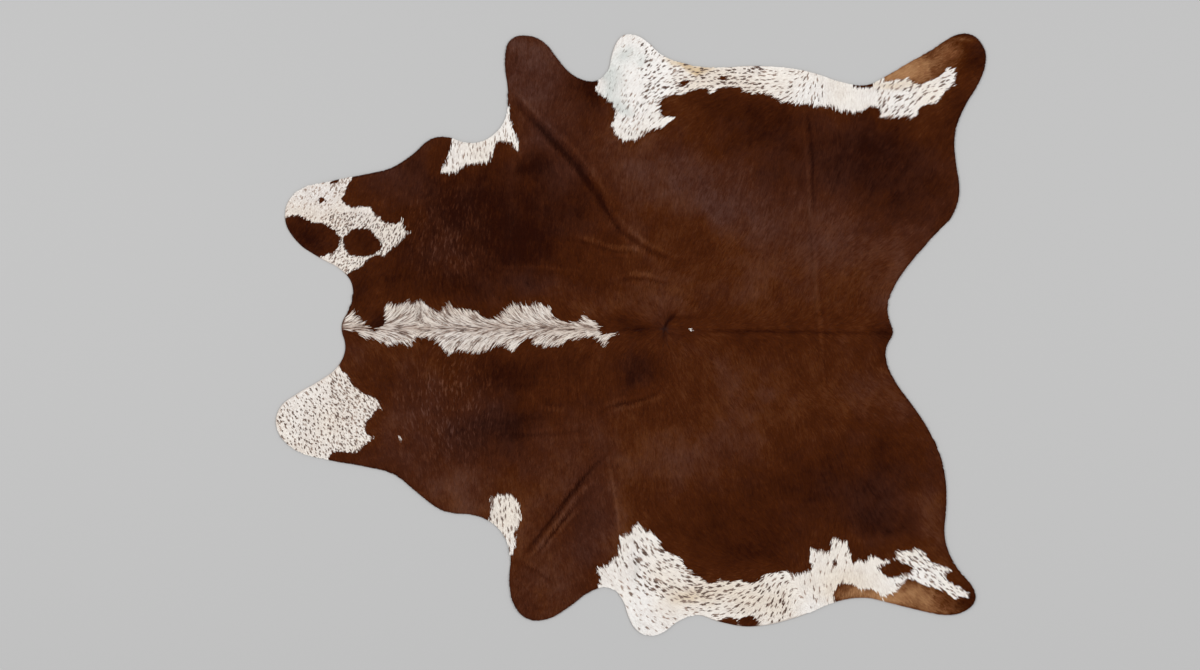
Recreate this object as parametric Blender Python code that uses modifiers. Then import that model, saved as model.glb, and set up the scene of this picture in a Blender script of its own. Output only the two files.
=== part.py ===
"""Cowhide rug: one whole hide with the hair on, laid flat, with its pleats pressed in.

Frame, in metres with +Z up: the spine runs along X, from the neck at -X to the tail
at +X.  The underside lies on Z = 0, and the origin is the middle of the outline's box.
"""

import math
from collections import namedtuple

import bmesh
import bpy
from mathutils import Vector
from mathutils.geometry import delaunay_2d_cdt, intersect_point_line

MM = 0.001

# Driving sizes, in millimetres
LEATHER_THICKNESS = 2.5
COAT_DEPTH = 2.5            # hair lying flat on the leather
OUTLINE_STEPS = 3           # straight runs between two turning points of the edge
PLEAT_STEPS = 4             # straight runs between two points of a pleat's crest

# The edge of the hide, clockwise seen from above, as turning points (x, y) in
# millimetres along and across the spine.  A smooth curve runs through them.
EDGE = {
    "upper cheek": ((-1003, 284), (-1036, 358), (-1003, 427), (-900, 459), (-780, 483), (-715, 500)),
    "upper neck side": ((-650, 541), (-595, 587), (-545, 591), (-505, 577), (-455, 576), (-408, 600),
                        (-372, 650)),
    "upper foreleg": ((-366, 715), (-375, 835), (-357, 885), (-310, 896), (-262, 878), (-222, 830),
                      (-188, 790), (-145, 764)),
    "upper elbow": ((-98, 761), (-72, 783), (-50, 858), (-27, 893), (8, 899), (44, 882)),
    "upper belly": ((92, 839), (150, 815), (240, 801), (380, 807), (530, 789), (655, 751), (712, 748)),
    "upper hind leg": ((762, 771), (822, 808), (900, 852), (977, 898), (1020, 900), (1055, 868),
                       (1065, 828), (1041, 752)),
    "upper rump": ((1002, 688), (971, 600), (974, 520), (985, 433), (967, 362), (908, 296), (828, 205)),
    "tail": ((782, 130), (769, 75), (780, 30), (786, 6), (774, -18), (763, -52), (785, -127)),
    "lower rump": ((848, -217), (908, -312), (940, -410), (946, -510), (941, -610)),
    "lower hind leg": ((973, -692), (1026, -758), (1033, -795), (1003, -826), (955, -838), (860, -822),
                       (765, -798)),
    "lower belly": ((705, -786), (620, -797), (505, -844), (360, -874), (265, -859), (196, -839)),
    "lower elbow": ((142, -857), (98, -890), (60, -900), (18, -884), (-5, -846), (-24, -793)),
    "lower foreleg": ((-62, -756), (-115, -765), (-190, -818), (-252, -851), (-312, -848), (-351, -800),
                      (-363, -735), (-360, -655)),
    "lower neck side": ((-384, -590), (-450, -543), (-560, -526), (-637, -472), (-705, -418)),
    "lower cheek": ((-790, -394), (-910, -372), (-1012, -339), (-1060, -280), (-1052, -220),
                    (-1005, -180), (-925, -133)),
    "neck": ((-878, -95), (-855, -40), (-866, 28), (-839, 88), (-834, 148), (-862, 191), (-934, 233)),
}

# The pleats: the hide's fullness, pressed into low soft ridges.  A crest starts and ends
# level with the sheet and is highest at the share of its length given as peak.
Pleat = namedtuple("Pleat", "crest height half_width peak")
PLEATS = {
    "upper shoulder": Pleat(((-352, 706), (-262, 612), (-140, 476), (-78, 362), (8, 277), (110, 221)),
                            height=6.0, half_width=20.0, peak=0.25),
    "lower shoulder": Pleat(((-330, -662), (-240, -562), (-140, -434), (-66, -346), (22, -189)),
                            height=6.0, half_width=20.0, peak=0.25),
    "loin": Pleat(((514, 672), (532, 560), (534, 430), (548, 250), (566, 0), (578, -190)),
                  height=3.5, half_width=22.0, peak=0.35),
}

# The triangulation keeps what lies inside its edges and welds points this close, in metres
INSIDE_EDGES = 1
WELD_DISTANCE = 1e-6

COAT_COLOR = (0.058, 0.014, 0.005, 1.0)
COAT_ROUGHNESS = 0.55
COAT_METALLIC = 0.0


def clear_scene():
    for obj in list(bpy.data.objects):
        bpy.data.objects.remove(obj, do_unlink=True)


def smooth_line(points, steps, closed):
    """Points of a Bezier curve with automatic handles through the given ones, in metres."""
    curve = bpy.data.curves.new("guide", type="CURVE")
    curve.dimensions = "2D"
    curve.fill_mode = "NONE"
    curve.resolution_u = steps
    spline = curve.splines.new("BEZIER")
    spline.bezier_points.add(len(points) - 1)
    for knot, (x, y) in zip(spline.bezier_points, points):
        knot.co = (x * MM, y * MM, 0.0)
        knot.handle_left_type = "AUTO"
        knot.handle_right_type = "AUTO"
    spline.use_cyclic_u = closed
    guide = bpy.data.objects.new("guide", curve)
    bpy.context.scene.collection.objects.link(guide)
    evaluated = guide.evaluated_get(bpy.context.evaluated_depsgraph_get())
    line = [vertex.co.to_2d() for vertex in evaluated.to_mesh().vertices]
    evaluated.to_mesh_clear()
    bpy.data.objects.remove(guide)
    bpy.data.curves.remove(curve)
    return line


def box_middle(points):
    """Middle of the box around 2D points."""
    low = Vector((min(p.x for p in points), min(p.y for p in points)))
    high = Vector((max(p.x for p in points), max(p.y for p in points)))
    return (low + high) / 2


def ease(share):
    """Smooth step from 0 to 1."""
    share = min(max(share, 0.0), 1.0)
    return share * share * (3.0 - 2.0 * share)


def crest_height(pleat, share):
    """Height of a pleat's crest at a share of its length: up to its peak, then down."""
    if share < pleat.peak:
        return pleat.height * MM * ease(share / pleat.peak)
    return pleat.height * MM * ease((1.0 - share) / (1.0 - pleat.peak))


def pleat_lift(point, pleat, crest):
    """How far a pleat raises the sheet at a point: a cosine hump across its crest."""
    best_distance = math.inf
    best_share = 0.0
    runs = len(crest) - 1
    for index in range(runs):
        along = intersect_point_line(point, crest[index], crest[index + 1])[1]
        along = min(max(along, 0.0), 1.0)
        foot = crest[index].lerp(crest[index + 1], along)
        distance = (point - foot).length
        if distance < best_distance:
            best_distance = distance
            best_share = (index + along) / runs
    if best_distance >= pleat.half_width * MM:
        return 0.0
    hump = 0.5 + 0.5 * math.cos(math.pi * best_distance / (pleat.half_width * MM))
    return hump * crest_height(pleat, best_share)


def pleat_rows(pleat, crest):
    """The crest and the rows of points beside it that give the hump its section."""
    rows = []
    for row in (-1.0, -0.5, 0.0, 0.5, 1.0):
        offset = row * pleat.half_width * MM
        for index, point in enumerate(crest):
            before = crest[max(index - 1, 0)]
            after = crest[min(index + 1, len(crest) - 1)]
            side = (after - before).normalized().orthogonal()
            rows.append(point + side * offset)
    return rows


def build_hide():
    """The hide as one sheet: flat underside, outline of the skin, ridges at the pleats."""
    anchors = [point for part in EDGE.values() for point in part]
    ring = smooth_line(anchors, OUTLINE_STEPS, closed=True)
    middle = box_middle(ring)
    ring = [point - middle for point in ring]
    crests = {}
    rows = []
    for name, pleat in PLEATS.items():
        crests[name] = [p - middle for p in smooth_line(pleat.crest, PLEAT_STEPS, closed=False)]
        rows += pleat_rows(pleat, crests[name])
    edges = [(index, (index + 1) % len(ring)) for index in range(len(ring))]
    flat, _, faces, _, _, _ = delaunay_2d_cdt(ring + rows, edges, [], INSIDE_EDGES, WELD_DISTANCE)

    bm = bmesh.new()
    for point in flat:
        lift = max(pleat_lift(point, PLEATS[name], crest) for name, crest in crests.items())
        bm.verts.new((point.x, point.y, lift))
    bm.verts.ensure_lookup_table()
    for face in faces:
        bm.faces.new([bm.verts[index] for index in face])
    bmesh.ops.delete(bm, geom=[v for v in bm.verts if not v.link_faces], context="VERTS")
    bm.normal_update()
    if sum(face.normal.z for face in bm.faces) < 0.0:
        bmesh.ops.reverse_faces(bm, faces=bm.faces)
    mesh = bpy.data.meshes.new("hide")
    bm.to_mesh(mesh)
    bm.free()
    mesh.shade_smooth()
    hide = bpy.data.objects.new("hide", mesh)

    thicken = hide.modifiers.new("leather and coat", "SOLIDIFY")
    thicken.thickness = (LEATHER_THICKNESS + COAT_DEPTH) * MM
    thicken.offset = 1.0
    return hide


def coat_material():
    material = bpy.data.materials.new("brown coat")
    material.use_nodes = True
    shader = material.node_tree.nodes["Principled BSDF"]
    shader.inputs["Base Color"].default_value = COAT_COLOR
    shader.inputs["Roughness"].default_value = COAT_ROUGHNESS
    shader.inputs["Metallic"].default_value = COAT_METALLIC
    return material


def main():
    clear_scene()
    rug = bpy.data.collections.new("cowhide rug")
    bpy.context.scene.collection.children.link(rug)
    hide = build_hide()
    hide.data.materials.append(coat_material())
    rug.objects.link(hide)


main()
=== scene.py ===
"""Looks of a cowhide rug: a sheet of leather with its hair laid on it lock by lock.

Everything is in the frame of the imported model: metres, +Z up, the spine along X from
the neck at -X to the tail at +X, the flesh side on Z = 0.  Drawn places are written in
millimetres and brought to that frame by placed().
"""

import math
from collections import namedtuple

import bmesh
import bpy
import numpy as np
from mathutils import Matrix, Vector
from mathutils.geometry import delaunay_2d_cdt


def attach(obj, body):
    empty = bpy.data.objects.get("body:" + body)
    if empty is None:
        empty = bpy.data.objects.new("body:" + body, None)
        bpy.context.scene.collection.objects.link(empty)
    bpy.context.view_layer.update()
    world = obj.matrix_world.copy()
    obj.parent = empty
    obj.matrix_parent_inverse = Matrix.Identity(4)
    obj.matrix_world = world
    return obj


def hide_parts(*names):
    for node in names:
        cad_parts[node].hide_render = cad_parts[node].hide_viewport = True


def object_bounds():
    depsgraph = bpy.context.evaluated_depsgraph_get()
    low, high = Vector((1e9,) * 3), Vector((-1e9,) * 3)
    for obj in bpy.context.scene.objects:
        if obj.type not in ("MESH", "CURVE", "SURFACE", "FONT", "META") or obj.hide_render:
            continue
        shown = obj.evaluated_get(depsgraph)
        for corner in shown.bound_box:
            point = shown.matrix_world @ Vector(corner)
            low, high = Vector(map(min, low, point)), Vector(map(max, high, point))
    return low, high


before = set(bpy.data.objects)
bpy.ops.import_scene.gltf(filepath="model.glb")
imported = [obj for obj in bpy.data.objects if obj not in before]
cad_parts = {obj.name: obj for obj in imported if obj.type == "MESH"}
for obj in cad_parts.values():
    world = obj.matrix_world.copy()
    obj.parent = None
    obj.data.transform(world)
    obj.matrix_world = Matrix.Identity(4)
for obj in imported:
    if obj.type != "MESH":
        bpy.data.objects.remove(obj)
CAD_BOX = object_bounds()

bl_info = {
    "name": "Cowhide rug",
    "version": (1, 0, 0),
    "blender": (4, 5, 0),
    "location": "View3D > Sidebar > Cowhide",
    "description": "Lays a cowhide rug, grows its brown and white coat and lights it",
    "category": "Object",
}

MM = 0.001
NODE = "hide"
BODY = "root"
BAKE_MAP = "OFBake"

# Opposite corners of the hide, seen from above
LOW, HIGH = (np.array(corner)[:2] for corner in CAD_BOX)

# The middle of the outline's box, in the millimetres that the places below are drawn in
DRAWN_MIDDLE = (0.85, 1.55)
SPINE = 20.0                # where the line of the spine runs, across the hide


def table(kind, *rows):
    """Rows of plain values as named tuples."""
    return tuple(kind(*row) for row in rows)


# ---------------------------------------------------------------------------
# Relief: pleats stand up as ridges, creases are narrow troughs, folds are low ridges
# ---------------------------------------------------------------------------

Pleat = namedtuple("Pleat", "crest height half_width peak")
PLEATS = table(
    Pleat,
    (((-352, 706), (-262, 612), (-140, 476), (-78, 362), (8, 277), (110, 221)), 6.0, 20.0, 0.25),
    (((-330, -662), (-240, -562), (-140, -434), (-66, -346), (22, -189)), 6.0, 20.0, 0.25),
    (((514, 672), (532, 560), (534, 430), (548, 250), (566, 0), (578, -190)), 3.5, 22.0, 0.35),
)

# lift: height of the fold, below zero for a trough; half_width: its reach to each side;
# shade: painted shade along it, where the fold lies in shadow and its parted hair is darker;
# below zero a painted highlight where the fold catches light
Crease = namedtuple("Crease", "line lift half_width shade")
CREASES = table(
    Crease,
    # upper shoulder: the fold's foot in painted shade, then its shoulder with a painted highlight
    (((-350, 698), (-262, 600), (-190, 525), (-142, 468), (-100, 405), (-62, 340)), -2.4, 21.0, 0.38),
    (((-350, 726), (-250, 622), (-176, 550), (-124, 490), (-80, 425), (-48, 368)), 1.0, 9.0, -0.16),
    (((-104, 412), (-66, 350), (-36, 306), (0, 276), (50, 243), (108, 216)), -1.4, 12.0, 0.30),
    (((-50, 364), (-22, 322), (16, 290), (62, 256), (120, 230), (170, 214)), 0.8, 8.0, -0.20),
    (((-178, 278), (-120, 264), (-64, 244), (23, 238)), -1.0, 8.0, 0.12),
    (((-187, 286), (-120, 274), (-52, 252), (42, 247)), 0.8, 7.0, -0.26),
    (((-400, 190), (-281, 191), (-163, 179)), 0.6, 7.0, -0.22),
    (((-44, 158), (10, 172), (60, 166), (106, 152)), 0.8, 7.0, -0.22),
    (((-44, 148), (10, 158), (60, 152), (112, 138)), -0.9, 8.0, 0.22),
    # lower shoulder: two folds side by side
    (((-330, -656), (-270, -585), (-219, -517), (-160, -440), (-122, -393), (-78, -352)), -2.4, 10.0, 0.40),
    (((-282, -648), (-246, -602), (-212, -558), (-170, -506)), -1.4, 7.0, 0.34),
    (((-306, -656), (-250, -588), (-196, -518), (-150, -460), (-112, -424)), 1.0, 7.0, -0.30),
    (((-266, -640), (-226, -590), (-180, -534), (-140, -482)), 0.8, 7.0, -0.24),
    (((-66, -376), (-54, -430), (-44, -500), (-40, -600)), 0.7, 7.0, -0.26),
    (((-330, -676), (-282, -695), (-228, -738)), -0.8, 9.0, 0.20),
    (((-108, -222), (-46, -198), (30, -184), (84, -160)), -1.0, 8.0, 0.28),
    (((-70, -216), (20, -198), (94, -168)), 0.8, 7.0, -0.24),
    # loin: fold with a painted highlight, and painted shade at its foot on the tail's side
    (((510, 660), (518, 580), (522, 520), (530, 450), (535, 350), (540, 300)), 1.2, 8.0, -0.16),
    (((526, 655), (537, 580), (540, 500), (543, 440), (549, 350)), -1.6, 9.0, 0.24),
    (((549, 350), (556, 250), (562, 150), (570, 40), (578, -60), (586, -190)), -0.9, 8.0, 0.10),
    (((540, 300), (548, 200), (555, 90), (562, 0), (570, -60), (578, -200)), 0.7, 8.0, -0.09),
    # smaller marks
    (((-627, 52), (-628, 20), (-628, -18)), -0.6, 7.0, 0.60),
    (((-184, 153), (-183, 100), (-184, 39)), -0.9, 6.0, 0.16),
    (((-184, -45), (-185, -110), (-186, -189)), -0.8, 6.0, 0.12),
    (((-396, -284), (-300, -288), (-143, -276)), -0.9, 8.0, 0.18),
    (((-256, -206), (-226, -210), (-198, -216)), 0.7, 8.0, -0.24),
    (((-673, -144), (-500, -142), (-220, -138)), -0.7, 7.0, 0.06),
    (((170, 14), (300, 13), (480, 12), (640, 10), (786, 6)), -1.2, 7.0, 0.26),
    (((-40, 14), (20, 16), (104, 18)), -0.9, 6.0, 0.18),
    (((115, 44), (150, 45), (205, 46)), -0.6, 5.0, 0.16),
)

# ---------------------------------------------------------------------------
# Markings.  A marking's edge may run past the hide, where there is nothing to colour.
# ---------------------------------------------------------------------------

WHITE_MARKINGS = {
    "upper cheek": (
        (-828, 500), (-828, 478), (-848, 450), (-858, 418), (-868, 410), (-862, 398), (-835, 383),
        (-805, 384), (-778, 382), (-765, 360), (-750, 352), (-748, 340), (-715, 334), (-700, 333),
        (-683, 345), (-682, 320), (-678, 308), (-667, 304), (-676, 296), (-690, 272), (-714, 264),
        (-730, 246), (-736, 236), (-754, 240), (-772, 236), (-796, 222), (-800, 207), (-825, 197),
        (-851, 185), (-900, 180), (-1080, 300), (-1080, 480), (-900, 520),
    ),
    "lower cheek": (
        (-879, -80), (-869, -101), (-851, -117), (-842, -137), (-830, -153), (-814, -165), (-798, -179),
        (-762, -191), (-754, -197), (-750, -207), (-745, -223), (-756, -219), (-776, -241), (-794, -264),
        (-798, -284), (-794, -298), (-770, -308), (-798, -328), (-816, -348), (-826, -352), (-861, -350),
        (-889, -350), (-909, -366), (-899, -390), (-1000, -400), (-1110, -300), (-1110, -180), (-960, -80),
    ),
    "lower neck streak": ((-700, -303), (-692, -302), (-684, -315), (-685, -320), (-693, -312)),
    "upper neck side": (
        (-537, 610), (-536, 570), (-545, 535), (-560, 505), (-570, 484), (-535, 482), (-518, 485),
        (-505, 500), (-490, 508), (-450, 513), (-420, 520), (-420, 535), (-408, 562), (-403, 575),
        (-370, 578), (-355, 575), (-345, 565), (-335, 545), (-337, 575), (-352, 610), (-363, 655),
        (-368, 690), (-390, 690), (-420, 640), (-500, 630),
    ),
    "upper belly": (
        (-100, 775), (-98, 748), (-108, 738), (-98, 725), (-65, 705), (-55, 695), (-45, 668), (-55, 630),
        (-50, 612), (-45, 600), (-35, 590), (-20, 580), (20, 585), (45, 605), (60, 612), (100, 622),
        (112, 632), (130, 650), (100, 655), (90, 660), (85, 680), (88, 700), (97, 712), (125, 722),
        (145, 720), (180, 732), (215, 741), (230, 737), (240, 722), (262, 740), (310, 746), (330, 743),
        (340, 730), (350, 725), (400, 725), (440, 708), (447, 697), (480, 697), (505, 688), (540, 690),
        (550, 683), (575, 685), (590, 682), (600, 688), (610, 680), (630, 667), (650, 672), (670, 662),
        (700, 672), (720, 687), (748, 680), (750, 652), (790, 652), (833, 655), (838, 645), (855, 655),
        (865, 680), (905, 694), (920, 700), (940, 730), (970, 750), (975, 785), (972, 800), (948, 798),
        (940, 785), (905, 765), (870, 750), (850, 750), (838, 768), (800, 766), (775, 758), (762, 764),
        (740, 800), (640, 840), (400, 860), (150, 880), (60, 930), (-50, 930),
    ),
    "back stripe": (
        (-865, 25), (-861, 34), (-851, 50), (-843, 69), (-826, 60), (-818, 48), (-798, 34), (-788, 20),
        (-778, 12), (-766, 12), (-744, 24), (-736, 32), (-734, 46), (-738, 77), (-730, 89), (-702, 83),
        (-669, 97), (-647, 87), (-627, 103), (-607, 85), (-583, 69), (-569, 65), (-544, 91), (-533, 80),
        (-510, 71), (-492, 73), (-452, 66), (-443, 53), (-420, 48), (-398, 51), (-385, 55), (-371, 73),
        (-349, 91), (-313, 84), (-299, 82), (-286, 93), (-268, 89), (-239, 75), (-232, 57), (-223, 48),
        (-192, 37), (-169, 33), (-147, 35), (-136, 60), (-120, 48), (-88, 26), (-95, 15), (-84, 4),
        (-50, 6), (-32, 5), (-57, -5), (-64, -12), (-75, -32), (-88, -14), (-102, -5), (-131, -1),
        (-156, -12), (-183, -12), (-196, -21), (-212, -32), (-232, -28), (-254, -32), (-290, -23),
        (-290, -10), (-302, -1), (-324, -14), (-340, -39), (-350, -48), (-371, -28), (-402, -25),
        (-425, -41), (-450, -50), (-488, -46), (-515, -41), (-542, -55), (-555, -42), (-563, -26),
        (-580, -11), (-600, -6), (-627, 0), (-639, -2), (-647, -14), (-667, -30), (-694, -22), (-710, -22),
        (-724, -32), (-746, -18), (-774, -6), (-794, -10), (-804, -2), (-822, 12), (-853, 16), (-861, 22),
        (-880, 24),
    ),
    "lower neck side": (
        (-426, -549), (-414, -520), (-415, -500), (-423, -482), (-403, -484), (-398, -473), (-378, -482),
        (-373, -473), (-349, -482), (-333, -504), (-331, -524), (-324, -549), (-335, -556), (-333, -571),
        (-349, -592), (-344, -623), (-349, -641), (-356, -656), (-380, -670), (-440, -600),
    ),
    "lower belly": (
        (-100, -758), (-88, -724), (-104, -708), (-100, -697), (-84, -695), (-66, -688), (-55, -672),
        (-37, -659), (-26, -632), (-34, -619), (-30, -605), (-17, -598), (1, -594), (8, -578), (20, -558),
        (42, -580), (64, -594), (78, -605), (95, -639), (116, -652), (144, -668), (168, -700), (195, -723),
        (227, -741), (247, -746), (261, -743), (265, -733), (299, -741), (323, -737), (339, -745),
        (362, -746), (394, -733), (400, -721), (438, -713), (466, -708), (498, -717), (537, -708),
        (547, -698), (537, -670), (543, -658), (537, -640), (573, -646), (591, -652), (602, -642),
        (602, -612), (611, -605), (637, -618), (647, -618), (657, -650), (669, -684), (677, -676),
        (703, -680), (713, -674), (717, -662), (737, -664), (746, -672), (764, -674), (792, -670),
        (798, -658), (796, -650), (842, -644), (858, -640), (882, -650), (884, -658), (904, -684),
        (921, -686), (953, -700), (963, -708), (947, -710), (945, -721), (949, -733), (989, -757),
        (1017, -775), (1009, -789), (989, -785), (969, -791), (945, -769), (929, -761), (898, -757),
        (870, -745), (838, -733), (826, -731), (818, -741), (808, -753), (802, -767), (770, -779),
        (758, -787), (750, -830), (600, -850), (400, -920), (50, -940), (-60, -860), (-70, -790),
    ),
    "dot on the spine": ((178, 13), (182, 12), (186, 15), (185, 19), (181, 20), (178, 17)),
}

# Brown islands in the white
BROWN_ISLANDS = {
    "upper cheek, on the edge": (
        (-1035, 352), (-1015, 358), (-990, 357), (-955, 338), (-910, 334), (-895, 322), (-879, 304),
        (-869, 292), (-869, 280), (-877, 258), (-889, 246), (-905, 242), (-929, 236), (-960, 200),
        (-1100, 300), (-1060, 352),
    ),
    "upper cheek, inside": (
        (-861, 296), (-849, 302), (-834, 318), (-805, 320), (-774, 316), (-766, 302), (-748, 278),
        (-742, 268), (-748, 256), (-770, 240), (-786, 234), (-822, 236), (-842, 240), (-854, 254),
        (-863, 276), (-863, 288),
    ),
    "upper cheek, speck": (
        (-936, 399), (-930, 411), (-920, 412), (-912, 404), (-905, 404), (-908, 396), (-920, 399),
        (-926, 393),
    ),
    "upper flank, sliver": ((664, 754), (668, 742), (700, 738), (722, 742), (730, 756), (700, 770)),
    "lower hind leg, oval": (
        (742, -696), (754, -709), (770, -723), (786, -725), (810, -725), (838, -713), (847, -702),
        (838, -690), (810, -678), (794, -672), (778, -674), (758, -688),
    ),
    "lower hind leg, tan edge": (
        (619, -802), (609, -785), (607, -773), (617, -763), (623, -749), (637, -743), (663, -745),
        (691, -761), (727, -763), (743, -771), (758, -787), (750, -810),
    ),
    "lower belly, first edge spot": (
        (264, -858), (276, -851), (300, -848), (322, -850), (322, -885), (268, -885),
    ),
    "lower belly, second edge spot": (
        (326, -856), (336, -847), (358, -843), (375, -848), (383, -860), (376, -890), (328, -890),
    ),
    "lower belly, first dark spot": ((608, -676), (615, -671), (624, -680), (619, -692), (609, -688)),
    "upper belly, first spot": ((90, 739), (98, 748), (106, 746), (103, 737)),
    "upper belly, second spot": ((138, 748), (152, 760), (172, 768), (177, 758), (160, 748), (146, 743)),
    "upper belly, third spot": ((262, 770), (272, 779), (286, 776), (284, 766), (270, 763)),
    "upper cheek, edge spot": ((-902, 452), (-896, 462), (-880, 470), (-874, 464), (-886, 452)),
    "upper belly, fourth spot": ((378, 805), (386, 808), (394, 801), (386, 799)),
    "lower belly, second dark spot": ((447, -796), (456, -792), (464, -806), (457, -814)),
}
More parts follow.
